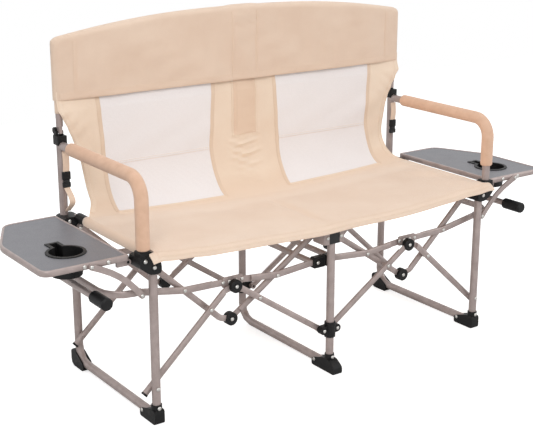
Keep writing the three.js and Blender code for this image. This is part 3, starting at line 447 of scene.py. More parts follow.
# Mesh helpers
def shown(name, data):
    """An object of a mesh, light or camera, linked to the scene."""
    made = bpy.data.objects.new(name, data)
    bpy.context.scene.collection.objects.link(made)
    return made


def piece(name, vertices, faces, material, smooth=True, uvs=None):
    mesh = bpy.data.meshes.new(name)
    mesh.from_pydata([tuple(v) for v in vertices], [], faces)
    if uvs is not None:
        layer = mesh.uv_layers.new(name="cloth")
        for loop in mesh.loops:
            layer.data[loop.index].uv = uvs[loop.vertex_index]
    for material_slot in material if isinstance(material, (list, tuple)) else [material]:
        mesh.materials.append(material_slot)
    mesh.polygons.foreach_set("use_smooth", [smooth] * len(mesh.polygons))
    mesh.update()
    return shown(name, mesh)


def outward(made):
    """Merges doubles and turns every face outwards."""
    work = bmesh.new()
    work.from_mesh(made.data)
    bmesh.ops.remove_doubles(work, verts=work.verts, dist=1e-6)
    bmesh.ops.recalc_face_normals(work, faces=work.faces)
    work.to_mesh(made.data)
    work.free()
    made.data.update()
    return made


def ring_faces(rings, count, closed=False):
    """Faces between rings of count points; closed joins the last ring to the first."""
    faces = []
    for k in range(rings if closed else rings - 1):
        a, b = k * count, (k + 1) % rings * count
        for i in range(count):
            j = (i + 1) % count
            faces.append((a + i, a + j, b + j, b + i))
    return faces


def capped_rings(rings, count):
    """Faces between rings and over both ends."""
    ends = [tuple(reversed(range(count))), tuple(range((rings - 1) * count, rings * count))]
    return ring_faces(rings, count) + ends


def swept(name, path, section, side, material, rounded=False):
    """A closed section swept along a flat path; its first axis follows side, square to the path."""
    path = [Vector(p) for p in path]
    vertices = []
    for i, p in enumerate(path):
        before, after = path[max(i - 1, 0)], path[min(i + 1, len(path) - 1)]
        tangent = (after - before).normalized()
        up = tangent.cross(side).normalized()
        scale = section_scale(i, len(path)) if rounded else 1.0
        vertices += [p + side * (a * scale) + up * (b * scale) for a, b in section]
    return outward(piece(name, vertices, capped_rings(len(path), len(section)), material))


def section_scale(index, count):
    """Rounds off the first and last rings of a pad."""
    edge = min(index, count - 1 - index)
    return (0.86, 0.96)[edge] if edge < 2 else 1.0


def circle(radius, count=20):
    steps = [2 * math.pi * k / count for k in range(count)]
    return [(radius * math.cos(a), radius * math.sin(a)) for a in steps]


def oval(thick, tall, count=8):
    r = min(thick, tall) / 2
    long = max(thick, tall) / 2 - r
    points = []
    for end in (1, -1):
        for k in range(count + 1):
            a = math.pi * k / count
            points.append((end * r * math.cos(a), end * (long + r * math.sin(a))))
    return points if thick < tall else [(b, -a) for a, b in points]


def bend_path(corners, radius, steps=8):
    """Straight runs with round corners."""
    corners = [Vector(c) for c in corners]
    path = [corners[0]]
    for before, corner, after in zip(corners, corners[1:], corners[2:]):
        into, out = (corner - before).normalized(), (after - corner).normalized()
        turn = into.angle(out)
        start = corner - into * radius * math.tan(turn / 2)
        inward = (out - into * out.dot(into)).normalized()
        centre = start + inward * radius
        for k in range(steps + 1):
            a = turn * k / steps
            path.append(centre + (inward * -math.cos(a) + into * math.sin(a)) * radius)
    return path + [corners[-1]]


# Geometry Nodes
class NodeTree:
    """A Geometry Nodes tree under construction, with one mesh input and named sizes."""

    def __init__(self, name, sizes):
        self.tree = bpy.data.node_groups.new(name, "GeometryNodeTree")
        faces = self.tree.interface
        faces.new_socket("Geometry", in_out="INPUT", socket_type="NodeSocketGeometry")
        self.sizes = {}
        for size, value in sizes.items():
            socket = faces.new_socket(size, in_out="INPUT", socket_type="NodeSocketFloat")
            socket.default_value = value
            self.sizes[size] = socket.identifier
        faces.new_socket("Geometry", in_out="OUTPUT", socket_type="NodeSocketGeometry")
        self.inputs = self.tree.nodes.new("NodeGroupInput").outputs

    def node(self, kind, inputs=None, **settings):
        return add_node(self.tree, kind, inputs, **settings)

    def close(self, instances, material):
        real = self.node("GeometryNodeRealizeInstances", {"Geometry": instances})
        solid = real.outputs["Geometry"]
        painted = self.node("GeometryNodeSetMaterial", {"Geometry": solid, "Material": material})
        return self.end(painted.outputs["Geometry"])

    def end(self, geometry):
        self.node("NodeGroupOutput", {"Geometry": geometry})
        return self


def rivet_tree():
    """A domed head on every point, its axis along the point's own 'face' direction."""
    made = NodeTree("rivet_heads", {"Radius": RIVET_R, "Height": RIVET_H})
    radius = made.inputs["Radius"]
    half = made.node("ShaderNodeMath", {0: radius, 1: 0.62}, operation="MULTIPLY").outputs[0]
    head = made.node(
        "GeometryNodeMeshCone",
        {
            "Vertices": 16,
            "Side Segments": 2,
            "Fill Segments": 2,
            "Radius Top": half,
            "Radius Bottom": radius,
            "Depth": made.inputs["Height"],
        },
    ).outputs["Mesh"]
    soft = made.node("GeometryNodeSetShadeSmooth", {"Geometry": head, "Shade Smooth": True})
    face = made.node("GeometryNodeInputNamedAttribute", {"Name": "face"}, data_type="FLOAT_VECTOR")
    way = face.outputs["Attribute"]
    turn = made.node("FunctionNodeAlignRotationToVector", {"Vector": way}, axis="Z")
    points = made.node("GeometryNodeMeshToPoints", {"Mesh": made.inputs["Geometry"]})
    placed = made.node(
        "GeometryNodeInstanceOnPoints",
        {
            "Points": points.outputs["Points"],
            "Instance": soft.outputs["Geometry"],
            "Rotation": turn.outputs["Rotation"],
        },
    )
    return made.close(placed.outputs["Instances"], STEEL)


def stitch_tree():
    """Short thread runs at an even pitch along every line."""
    sizes = {"Length": STITCH_LENGTH, "Pitch": STITCH_PITCH, "Radius": STITCH_R}
    made = NodeTree("stitches", sizes)
    curve = made.node("GeometryNodeMeshToCurve", {"Mesh": made.inputs["Geometry"]}).outputs["Curve"]
    spacing = {"Curve": curve, "Length": made.inputs["Pitch"]}
    dots = made.node("GeometryNodeCurveToPoints", spacing, mode="LENGTH")
    run = made.node(
        "GeometryNodeMeshCylinder",
        {"Vertices": 5, "Radius": made.inputs["Radius"], "Depth": made.inputs["Length"]},
    ).outputs["Mesh"]
    placed = made.node(
        "GeometryNodeInstanceOnPoints",
        {
            "Points": dots.outputs["Points"],
            "Instance": run,
            "Rotation": dots.outputs["Rotation"],
        },
    )
    return made.close(placed.outputs["Instances"], THREAD)


def smooth_tree():
    """Merges a node's loose triangles and shades all but its sharp edges smooth."""
    made = NodeTree("round_shading", {"Sharp Angle": math.radians(38)})
    loose = {"Geometry": made.inputs["Geometry"], "Distance": 2e-6}
    merged = made.node("GeometryNodeMergeByDistance", loose).outputs["Geometry"]
    soft = made.node("GeometryNodeSetShadeSmooth", {"Geometry": merged, "Shade Smooth": True})
    angle = made.node("GeometryNodeInputMeshEdgeAngle").outputs["Unsigned Angle"]
    limits = {"A": angle, "B": made.inputs["Sharp Angle"]}
    sharp = made.node("FunctionNodeCompare", limits, operation="GREATER_THAN")
    hard = made.node(
        "GeometryNodeSetShadeSmooth",
        {
            "Geometry": soft.outputs["Geometry"],
            "Selection": sharp.outputs["Result"],
            "Shade Smooth": False,
        },
        domain="EDGE",
    )
    return made.end(hard.outputs["Geometry"])


RIVETS = rivet_tree()
STITCHES = stitch_tree()
ROUND_SHADING = smooth_tree()


def grown(source, tree, name, sizes=None):
    """Runs a tree on a source mesh and keeps the result as a plain mesh object."""
    modifier = source.modifiers.new("grow", "NODES")
    modifier.node_group = tree.tree
    for size, value in (sizes or {}).items():
        modifier[tree.sizes[size]] = value
    bpy.context.view_layer.update()
    ready = source.evaluated_get(bpy.context.evaluated_depsgraph_get())
    mesh = bpy.data.meshes.new_from_object(ready)
    mesh.name = name
    source.modifiers.remove(modifier)
    bpy.data.objects.remove(source)
    return shown(name, mesh)


def rivets(name, spots, body):
    """Rivet heads at (point, direction) spots on one body."""
    source = piece(name + "_points", [p for p, _ in spots], [], STEEL)
    facing = source.data.attributes.new("face", "FLOAT_VECTOR", "POINT")
    for item, (_, direction) in zip(facing.data, spots):
        item.vector = direction
    made = grown(source, RIVETS, name, {"Radius": RIVET_R, "Height": RIVET_H})
    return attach(made, body)


# Cloth surface: one profile from the front hem up to the hinge line and on to the hood
def seat_profile():
    """Rows along the cloth: distance along it, y, z at the side rails, shares of sag and hem drop."""
    rows = []
    for t in np.linspace(1, 0, 11):
        rows.append((LEG_Y + (HEM_Y - LEG_Y) * t, SEAT_TOP, 1.0, t**3))
    for t in np.linspace(0.02, 1, 40):
        rows.append((LEG_Y + (SWEEP_START_Y - LEG_Y) * t, SEAT_TOP, 1.0, 0.0))
    for t in np.linspace(0.03, 1, 34):
        a = t * math.pi / 2
        y = SWEEP_START_Y + (BACK_Y - SWEEP_START_Y) * math.sin(a)
        z = SWEEP_TOP_Z - (SWEEP_TOP_Z - SEAT_TOP) * math.cos(a)
        rows.append((y, z, (1 - t) ** 1.5, 0.0))
    for z in np.linspace(SWEEP_TOP_Z + 0.004, HOOD_CORNER_Z, 60):
        rows.append((BACK_Y, z, 0.0, 0.0))
    y, z, sag, drop = (np.array(column) for column in zip(*rows))
    run = np.concatenate(([0], np.cumsum(np.hypot(np.diff(y), np.diff(z)))))
    return run, y, z, sag, drop


RUN, RUN_Y, RUN_Z, RUN_SAG, RUN_DROP = seat_profile()
SEAT_ROWS, SWEEP_ROWS = 51, 84
SWEEP_RUN = float(np.interp(SWEEP_START_Y, RUN_Y[:SEAT_ROWS], RUN[:SEAT_ROWS]))


def at(run, column):
    """A column of the profile at a place along the cloth."""
    return float(np.interp(run, RUN, column))


def run_at_height(z):
    return float(np.interp(z, RUN_Z[SEAT_ROWS - 1 :], RUN[SEAT_ROWS - 1 :]))


def run_at_depth(y):
    return float(np.interp(y, RUN_Y[:SWEEP_ROWS], RUN[:SWEEP_ROWS]))


HINGE_RUN = run_at_height(HINGE_LINE_Z)
HOOD_RUN = run_at_height(HOOD_HEM_Z + HOOD_LAP)
GATHER_RUN = run_at_height(GATHER_Z)
SHOULDER_RUN = run_at_height(SHOULDER_PULL_Z)
WINDOW_FOOT_RUN = run_at_depth(WINDOW_FOOT_Y)
WINDOW_SEAM_RUN = run_at_height(WINDOW_SEAM_Z)
WINDOW_TOP_RUN = run_at_height(WINDOW_TOP_Z)


def cloth_half(run):
    """Half width of the cloth: flared at the front hem, drawn in beside the arms, wide at the hood."""
    if run <= SWEEP_RUN:
        return SEAT_HALF + FLARE * share((FLARE_Y[1] - at(run, RUN_Y)) / (FLARE_Y[1] - FLARE_Y[0]))
    rise = share((at(run, RUN_Z) - WAIST_Z) / (SHOULDER_Z - WAIST_Z))
    drawn_in = eased(min((run - SWEEP_RUN) / 0.075, 1.0))
    waist = SEAT_HALF + (WAIST_HALF - SEAT_HALF) * drawn_in
    return waist + (SHOULDER_HALF - WAIST_HALF) * rise**1.9


def back_ripple(x, run, edge):
    """Gathers in the middle strip, pulls at the waist and the shoulders, a soft swell all over."""
    up = min((run - SWEEP_RUN) / 0.06, 1.0)
    crease = math.sin(run * 250 + 40 * x + 1.9 * math.sin(52 * x + run * 30))
    crease += 0.6 * math.sin(run * 410 - 63 * x + 1.3)
    height = 0.0026 * bell(x, 0.047, 4) * bell(run - GATHER_RUN, 0.055) * (1.6 + crease)
    height += up * bell(edge, 0.085) * wave(0.0030, run * 62 - abs(x) * 48)
    height += up * wave(0.0016, x * 34 + 5 * math.sin(run * 17))
    shoulder = bell(edge, 0.06) * bell(run - SHOULDER_RUN, 0.06)
    return height + shoulder * wave(0.0028, run * 150 + abs(x) * 130 + 9 * x)


def seat_ripple(x, run, edge):
    """A crease along the middle, pulls at the corners, a soft swell all over."""
    beside = x + 0.031 - 0.034 * run
    valley = bell(beside, 0.10) - bell(beside, 0.013)
    height = 0.0068 * valley * math.sin(math.pi * share((run - 0.02) / 0.28)) ** 0.7
    height += bell(edge, 0.16) * wave(0.0026, run * 46 + abs(x) * 60)
    height += wave(0.0014, x * 21 + run * 8)
    height += wave(0.0018, run * 44 + x * 11 + 2.2 * math.sin(x * 9 + run * 6))
    return height * min(edge / 0.03, 1.0)


def cloth_point(x, run, raise_by=0.0):
    """A point of the cloth with its sag and its soft folds, which always rise towards the sitter."""
    hang = max(0.0, 1 - (x / RAIL_X) ** 2)
    hem = HEM_DROP * at(run, RUN_DROP) * (1 - HEM_EASE * hang)
    z = at(run, RUN_Z) - SEAT_SAG * hang * at(run, RUN_SAG) - hem
    ahead, behind = run + 0.003, max(run - 0.003, 0.0)
    rise = at(ahead, RUN_Z) - at(behind, RUN_Z)
    back = at(ahead, RUN_Y) - at(behind, RUN_Y)
    length = math.hypot(rise, back) or 1.0
    tuck = share((z - HOOD_HEM_Z + 0.03) / 0.03)
    ripple = back_ripple if run > SWEEP_RUN else seat_ripple
    lift = ripple(x, run, cloth_half(run) - abs(x)) * (1 - tuck) + raise_by - 0.004 * tuck
    return Vector((x, at(run, RUN_Y) - lift * rise / length, z + lift * back / length))


def window_edges(run):
    """Inner and outer edge of a mesh window at a place along the cloth."""
    stops = (WINDOW_FOOT_RUN, WINDOW_SEAM_RUN, WINDOW_TOP_RUN)
    return [float(np.interp(run, stops, edge[::-1])) for edge in (WINDOW_INNER, WINDOW_OUTER)]


def in_window(x, run):
    inner, outer = window_edges(run)
    return WINDOW_FOOT_RUN < run < WINDOW_TOP_RUN and inner < abs(x) < outer


def layered(name, columns, rows, place, thick, material_of, materials):
    """A closed sheet: place(i, j, layer) gives the front and back points of a grid."""
    vertices, uvs, faces, kinds = [], [], [], []
    stride, layer = columns + 1, (columns + 1) * (rows + 1)
    for back in (0, 1):
        for j in range(rows + 1):
            for i in range(columns + 1):
                point, uv = place(i, j, thick * back)
                vertices.append(point)
                uvs.append(uv)
    for j in range(rows):
        for i in range(columns):
            a = j * stride + i
            faces.append((a, a + 1, a + 1 + stride, a + stride))
            faces.append((layer + a, layer + a + stride, layer + a + stride + 1, layer + a + 1))
            kinds += [material_of(i, j)] * 2
    rim = list(range(columns))
    rim += [j * stride + columns for j in range(rows)]
    rim += [rows * stride + columns - i for i in range(columns)]
    rim += [(rows - j) * stride for j in range(rows)]
    for a, b in zip(rim, rim[1:] + rim[:1]):
        faces.append((b, a, layer + a, layer + b))
        kinds.append(0)
    made = piece(name, vertices, faces, materials, uvs=uvs)
    made.data.polygons.foreach_set("material_index", kinds)
    outward(made)
    made.data.set_sharp_from_angle(angle=SHARP)
    return made


def cloth_area(made):
    """Flat area of one face of a two-faced sheet."""
    return sum(polygon.area for polygon in made.data.polygons) / 2


def cloth_panel(name, start, end, columns, rows):
    def run_of(j):
        return start + (end - start) * j / rows

    def x_of(i, j):
        return (2 * i / columns - 1) * cloth_half(run_of(j))

    def place(i, j, depth):
        x, run = x_of(i, j), run_of(j)
        return cloth_point(x, run, -depth), (x, run)

    def material_of(i, j):
        return 1 if in_window(x_of(i + 0.5, j + 0.5), run_of(j + 0.5)) else 0

    return layered(name, columns, rows, place, CLOTH_THICK, material_of, [SEAT, MESH])


def gather_in(made, part):
    """Attaches the cloth to the centre posts for the seat, else to the centre back, and gives it its
    own mesh.
    """
    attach(made, "centre_posts" if part == "seat" else "centre_back")
    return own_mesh(made)


def make_seat_and_back():
    seat = cloth_panel("seat_cloth", 0.0, HINGE_RUN, CLOTH_COLUMNS, SEAT_CELLS)
    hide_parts("seat_fabric")
    back = cloth_panel("back_cloth", HINGE_RUN, HOOD_RUN, CLOTH_COLUMNS, BACK_CELLS)
    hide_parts("back_fabric")
    width = 2 * SHOULDER_HALF
    rails = ["left_seat_rail", "right_seat_rail", "centre_rear_post"]
    for made, part, length, carriers in (
        (seat, "seat", HINGE_RUN, rails),
        (back, "back", HOOD_RUN - HINGE_RUN, UPRIGHTS),
    ):
        gather_in(made, part)
        min(cloth_area(made), width * length)
        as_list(carriers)


def hood_depth(x):
    """Reach of the hood before and behind the upright axes; it wraps round the side uprights."""
    past = abs(x) - UPRIGHT_X
    if past > 0:
        return max(HOOD_EDGE_R**2 - past**2, 0.0) ** 0.5
    return HOOD_EDGE_R + (HOOD_DEPTH - HOOD_EDGE_R) * eased(min(-past / 0.12, 1.0))


def hood_top(x):
    """The hood's upper edge: a low crown, a step at the middle strip and rounded corners."""
    u = min(abs(x / HOOD_HALF), 1.0)
    crown = (HOOD_CROWN_Z - HOOD_CORNER_Z) * math.cos(math.pi / 2 * u**1.3)
    strip = 0.0025 * bell(x, 0.046, 6)
    return HOOD_CORNER_Z + crown + strip - 0.007 * max(0.0, (u - 0.96) / 0.04) ** 2


def hood_point(x, z, raise_by=0.0):
    """A point on the hood's front, with its soft swells and the gathers beside the middle strip."""
    u = x / HOOD_HALF
    swell = wave(0.0030, u * 17 + z * 34 + 2.2 * math.sin(u * 7))
    swell += wave(0.0013, u * 44 - z * 66 + 3 * math.sin(u * 11 + z * 25))
    swell *= 1 - abs(u) ** 6
    swell += bell(z - HOOD_HEM_Z, 0.03) * bell(abs(x) - 0.07, 0.05) * wave(0.0022, x * 240)
    strip = bell(x, 0.045, 4) * bell(z - 0.897, 0.028)
    swell += strip * wave(0.0032, z * 330 + 70 * x + 1.7 * math.sin(60 * x))
    return Vector((x, POST_Y - hood_depth(x) - swell - raise_by, z))


def make_hood():
    """The top of the back: a pocket pulled down over the uprights, open at its hem."""
    columns, climb, over = 160, 30, 8
    rows = 2 * climb + over

    def place(i, j, depth):
        x = math.sin((2 * i / columns - 1) * math.pi / 2) * HOOD_HALF
        top = hood_top(x)
        if j <= climb:
            t, angle = j / climb, 0.0
        elif j < climb + over:
            t, angle = 1.0, math.pi * (j - climb) / over
        else:
            t, angle = (rows - j) / climb, math.pi
        z = HOOD_HEM_Z + (top - HOOD_FOLD - HOOD_HEM_Z) * t
        front = hood_point(x, z, -depth)
        reach = max(POST_Y - front.y if angle < math.pi / 2 else hood_depth(x) - depth, 0.0)
        y = POST_Y - reach * math.cos(angle)
        return Vector((x, y, z + (HOOD_FOLD - depth) * math.sin(angle))), (x, j * 0.009)

    # The hood in the painted-shade cloth
    made = layered("back_hood", columns, rows, place, HOOD_CLOTH, lambda i, j: 0, [SHADED_HOOD_CLOTH])
    gather_in(made, "hood")


def tape(name, spots, part, material=None, width=TAPE_WIDTH):
    """A flat tape sewn along spots of a surface, with its two rows of stitches."""
    spots = [Vector(spot) for spot in spots]
    surface = hood_point if part == "hood" else cloth_point
    edges = []
    for i, spot in enumerate(spots):
        ahead = spots[min(i + 1, len(spots) - 1)] - spots[max(i - 1, 0)]
        across = Vector((ahead.y, -ahead.x)).normalized() * width / 2
        edges.append((spot - across, spot + across, across))

    def place(i, j, depth):
        left, right, _ = edges[j]
        spot = left.lerp(right, i / TAPE_CELLS)
        crown = TAPE_RAISE * (1.0 if 0 < i < TAPE_CELLS else 0.25)
        return surface(spot.x, spot.y, crown - depth), (i * width / TAPE_CELLS, j * 0.008)

    rows = len(spots) - 1
    made = layered(name, TAPE_CELLS, rows, place, TAPE_THICK, lambda i, j: 0, [material or TAPE])
    gather_in(made, part)
    vertices, pairs = [], []
    for part_across in (-SEWN_SHARE, SEWN_SHARE):
        first = len(vertices)
        for spot, (_, _, across) in zip(spots, edges):
            sewn = spot + across * 2 * part_across
            vertices.append(surface(sewn.x, sewn.y, TAPE_RAISE + STITCH_R * 0.6))
        pairs += [(k, k + 1) for k in range(first, len(vertices) - 1)]
    return vertices, pairs


def sew(part, lines):
    """All stitch rows of one part of the cloth as one piece."""
    vertices, pairs = [], []
    for points, edges in lines:
        pairs += [(a + len(vertices), b + len(vertices)) for a, b in edges]
        vertices += points
    mesh = bpy.data.meshes.new(part + "_stitch_lines")
    mesh.from_pydata(vertices, pairs, [])
    source = shown(part + "_stitch_lines", mesh)
    gather_in(grown(source, STITCHES, part + "_stitches"), part)


def line(start, end, step=0.012):
    """Evenly spaced (x, run) spots from one spot to another."""
    start, end = Vector(start), Vector(end)
    count = max(2, int((end - start).length / step))
    return [start.lerp(end, k / count) for k in range(count + 1)]


def make_seams():
    """Window bindings, cross seams, middle seam and side hems, split at the hinge line."""
    seams = {"seat": [], "back": [], "hood": []}

    def split_tape(name, spots, material=None, width=TAPE_WIDTH):
        below = [s for s in spots if s[1] < HINGE_RUN]
        above = [s for s in spots if s[1] > HINGE_RUN]
        if below and above:
            (x0, r0), (x1, r1) = below[-1], above[0]
            meet = (x0 + (x1 - x0) * (HINGE_RUN - r0) / (r1 - r0), HINGE_RUN)
            below, above = below + [meet], [meet] + above
        for part, piece_spots, label in (("seat", below, "low"), ("back", above, "high")):
            if len(piece_spots) > 2:
                seams[part].append(tape(f"{name}_{label}", piece_spots, part, material, width))

    def hood_tape(name, spots, width):
        # Hood tapes in the painted-shade cloth
        seams["hood"].append(tape(name, spots, "hood", SHADED_HOOD_CLOTH, width))

    runs = np.linspace(WINDOW_FOOT_RUN, WINDOW_TOP_RUN, 70)
    patch_runs = np.linspace(run_at_height(PATCH_FOOT_Z), HOOD_RUN - 0.004, 30)
    hem_runs = np.linspace(SWEEP_RUN + 0.03, HOOD_RUN - 0.02, 70)
    for side, sign in SIDES:
        flip = -sign
        for edge, label in ((0, "inner"), (1, "outer")):
            split_tape(f"{side}_window_{label}", [(flip * window_edges(r)[edge], r) for r in runs])
        for run, label in ((WINDOW_FOOT_RUN, "foot"), (WINDOW_SEAM_RUN, "cross")):
            inner, outer = window_edges(run)
            short = CROSS_SHORT if label == "cross" else 0.0
            spots = line((flip * (inner + short), run), (flip * (outer - short), run))
            # The window foot tapes take the painted-light cloth
            cloth = MESH if label == "cross" else PAINTED_LIGHT_CLOTH
            split_tape(f"{side}_window_{label}", spots, cloth, WINDOW_TAPE)
        hem = [(flip * (cloth_half(r) - HEM_INSET), r) for r in hem_runs]
        # Side hems and strip edges in the painted-light cloth
        split_tape(f"{side}_side_hem", hem, PAINTED_LIGHT_CLOTH, HEM_TAPE)
        strip = [(flip * STRIP_HALF, r) for r in patch_runs]
        split_tape(f"{side}_strip_edge", strip, PAINTED_LIGHT_CLOTH, STRIP_TAPE)
        for label, x, top, width in (
            ("seam", flip * SIDE_SEAM_X, HOOD_SEAM_TOP_Z, HOOD_SEAM_TAPE),
            ("strip", flip * STRIP_HALF, HOOD_STRIP_TOP_Z, HOOD_STRIP_TAPE),
        ):
            hood_tape(f"{side}_hood_{label}", line((x, HOOD_HEM_Z + 0.004), (x, top)), width)
    split_tape("middle_patch", [(0, r) for r in patch_runs], PATCH, 2 * STRIP_HALF - 0.008)
    front = line((-SEAT_HALF, FRONT_TAPE_RUN), (SEAT_HALF, FRONT_TAPE_RUN), 0.014)
    split_tape("front_hem", front, BEIGE, FRONT_TAPE)
    end, height = HOOD_HALF - 0.012, HOOD_HEM_Z + 0.009
    hood_tape("hood_hem", line((-end, height), (end, height)), HOOD_HEM_TAPE)
    for part, lines in seams.items():
        sew(part, lines)


# Cloth sleeves round the seat rails and the side uprights
def make_sleeves():
    for side, sign in SIDES:
        path = [(-sign * RAIL_X, y, RAIL_Z) for y in np.linspace(*RAIL_SLEEVE_Y, 24)]
        rail = swept(f"{side}_rail_sleeve", path, circle(RAIL_SLEEVE_R, 24), X_AXIS, BEIGE)
        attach(rail, f"{side}_arms")
        low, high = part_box(f"{side}_back_upright")
        pole = [((low.x + high.x) / 2, POST_Y, z) for z in np.linspace(*UPRIGHT_SLEEVE_Z, 12)]
        upright = swept(f"{side}_upright_sleeve", pole, circle(UPRIGHT_SLEEVE_R), X_AXIS, BEIGE)
        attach(upright, f"{side}_back")


# Arm pads
def make_arm_pads():
    for side, _ in SIDES:
        low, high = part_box(f"{side}_arm_foam")
        x = (low.x + high.x) / 2
        top = high.z - PAD_TOP
        foot = low.z + PAD_LIFT[side]
        corners = [(x, LEG_Y, foot), (x, LEG_Y, top), (x, high.y, top)]
        bent = bend_path(corners, PAD_BEND, 10)
        ends = [bent[0] + Vector((0, 0, t)) for t in (0.0, 0.002, 0.006)]
        tail = [bent[-1] - Vector((0, t, 0)) for t in (0.006, 0.002, 0.0)]
        straight = [bent[0].lerp(bent[1], t) for t in np.linspace(0.15, 0.9, 6)]
        level = [bent[-2].lerp(bent[-1], t) for t in np.linspace(0.1, 0.92, 12)]
        path = ends + straight + bent[1:-1] + level + tail
        pad = swept(f"{side}_arm_pad", path, circle(PAD_R, 28), X_AXIS, FOAM, rounded=True)
        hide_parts(f"{side}_arm_foam")
        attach(pad, f"{side}_arms")


# Rivets, hubs and end caps
def on_face(name, point, away):
    """The outermost place of a CAD node at a point, along away; a bore is spanned from its rim."""
    node, point, away = frame["nodes"][name], Vector(point), Vector(away)
    turn = node.matrix_world.inverted()
    across = away.orthogonal().normalized()
    beside = away.cross(across)
    reaches = []
    for step in (Vector(), across, -across, beside, -beside):
        start = point + step * BORE_RIM
        hit, spot, _, _ = node.ray_cast(turn @ (start + away * 0.5), turn.to_3x3() @ -away)
        if hit:
            reaches.append((node.matrix_world @ spot - point).dot(away))
    return point + away * max(reaches)


def rivet_marks(side, sign):
    """(body, node, point, direction) of every rivet of one side; most repeat at the rear."""
    fold = PIVOTS["fold" if side == "left" else "right_fold"]
    post = Vector((fold.x, 0, PIVOTS["centre_post_pivot"].z))
    posts = {"front": "centre_rail", "rear": "centre_rear_post"}
    legs = {"front": "front_leg", "rear": "leg_frame"}
    marks = []

    def on_side(body, node, joint, away):
        marks.append((f"{side}_{body}", f"{side}_{node}", PIVOTS[f"{side}_{joint}"], away))

    def on_bracket(end, away):
        for x, z in BRACKET_RIVETS:
            marks.append((f"{side}_arms", f"{side}_{end}_bracket", Vector((-sign * x, 0, z)), away))

    for end, turn in ENDS:
        away = (0, -turn, 0)
        on_side("lower_outer", f"{end}_lower_outer_brace", "outer_cross", away)
        on_side("lower_inner", f"{end}_lower_inner_brace", "inner_cross", away)
        marks.append(("sleeves", f"centre_{end}_sleeve", fold, away))
        marks.append(("centre_posts", posts[end], post, away))
        on_side("lever", "lock_lever", "lever_pivot", away)
        on_side("link", "lock_link", "link_pivot", away)
        on_side("legs", legs[end], "leg_pivot", away)
        for step in LEVER_PLATE_STEPS:
            spot = Vector((-sign * (LEVER_PLATE_X + step), 0, LEVER_PLATE_Z))
            marks.append((f"{side}_lever", f"{side}_lock_lever", spot, away))
        on_bracket(end, away)
    on_bracket("rear", FORWARD)
    for point, away in foot_marks(-sign * RAIL_X):
        marks.append((f"{side}_legs", f"{side}_front_foot", point, away))
    return marks


def foot_marks(x):
    """Rivets of a front foot: one ahead, one on each side."""
    yield Vector((x, *FOOT_FRONT_RIVET)), FORWARD
    for face in (-1, 1):
        yield Vector((x, *FOOT_SIDE_RIVET)), (face, 0, 0)


def rivet_spots():
    """Rivet heads by body: (point, direction) of each."""
    spots = defaultdict(list)
    for side, sign in SIDES:
        for body, node, point, away in rivet_marks(side, sign):
            spots[body].append((on_face(node, point, away), away))
        strut_top = Vector((-sign * STRUT_TOP_X, 0, STRUT_TOP_Z))
        for spot in (PIVOTS[f"{side}_strut_pivot"], strut_top):
            spots[f"{side}_strut"].append((on_face(f"{side}_table_strut", spot, FORWARD), FORWARD))
        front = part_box(f"{side}_table_top")[0].y - TABLE_EDGE
        for x in TABLE_RIVETS_X:
            spots[f"{side}_table"].append((Vector((-sign * x, front, TABLE_RIVET_Z)), FORWARD))
    for point, away in foot_marks(0):
        spots["centre_legs"].append((on_face("centre_front_foot", point, away), away))
    return spots


def make_rivets(spots):
    for body, marks in spots.items():
        rivets(f"{body}_rivets", marks, body)


def disc(name, centre, radius, y0, y1, body):
    """A black moulded hub with chamfered edges and a dished face, its axis along Y."""
    soft = min(HUB_SOFT, abs(y1 - y0) / 3)
    way = 1 if y1 > y0 else -1
    rings = [(y0, radius - soft), (y0 + way * soft, radius)]
    rings += [(y1 - way * soft, radius), (y1, radius - soft)]
    rings += [(y1, radius * 0.62), (y1 - way * HUB_DISH, radius * 0.55)]
    vertices, count = [], 30
    for y, r in rings:
        vertices += [Vector((centre.x + a, y, centre.z + b)) for a, b in circle(r, count)]
    made = outward(piece(name, vertices, capped_rings(len(rings), count), BLACK))
    made.data.set_sharp_from_angle(angle=math.radians(30))
    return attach(made, body)


def make_hubs(spots):
    """Black hubs where the braces meet, each with a rivet head."""
    for side, _ in SIDES:
        upper = PIVOTS[f"{side}_hub"]
        lower = Vector((upper.x, 0, 2 * CROSS_Z - upper.z))
        for end, turn in ENDS:
            for label, hub, (near, far), carrier in (
                ("upper", upper, UPPER_HUB_Y, "lower_inner"),
                ("lower", lower, LOWER_HUB_Y, "upper_inner"),
            ):
                body = f"{side}_{carrier}"
                disc(f"{side}_{end}_{label}_hub", hub, HUB_R, -near * turn, -far * turn, body)
                head = Vector((hub.x, -(far - HUB_DISH) * turn, hub.z))
                spots[body].append((head, (0, -turn, 0)))


def soften(made, width, segments):
    bevel = made.modifiers.new("soft_edges", "BEVEL")
    bevel.width, bevel.segments = width, segments
    return bevel


def rectangle(width, height):
    """Corners of a section round its middle."""
    x, y = width / 2, height / 2
    return [(-x, -y), (x, -y), (x, y), (-x, y)]


def block(name, low, high, material, body, bevel):
    """A moulded block between two corners, with rounded edges."""
    low, high = Vector(low), Vector(high)
    size, middle = high - low, (low + high) / 2
    path = [(low.x + size.x * t, middle.y, middle.z) for t in (0, 0.08, 0.92, 1)]
    made = swept(name, path, rectangle(size.y, size.z), Y_AXIS, material)
    soften(made, bevel, 3)
    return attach(made, body)


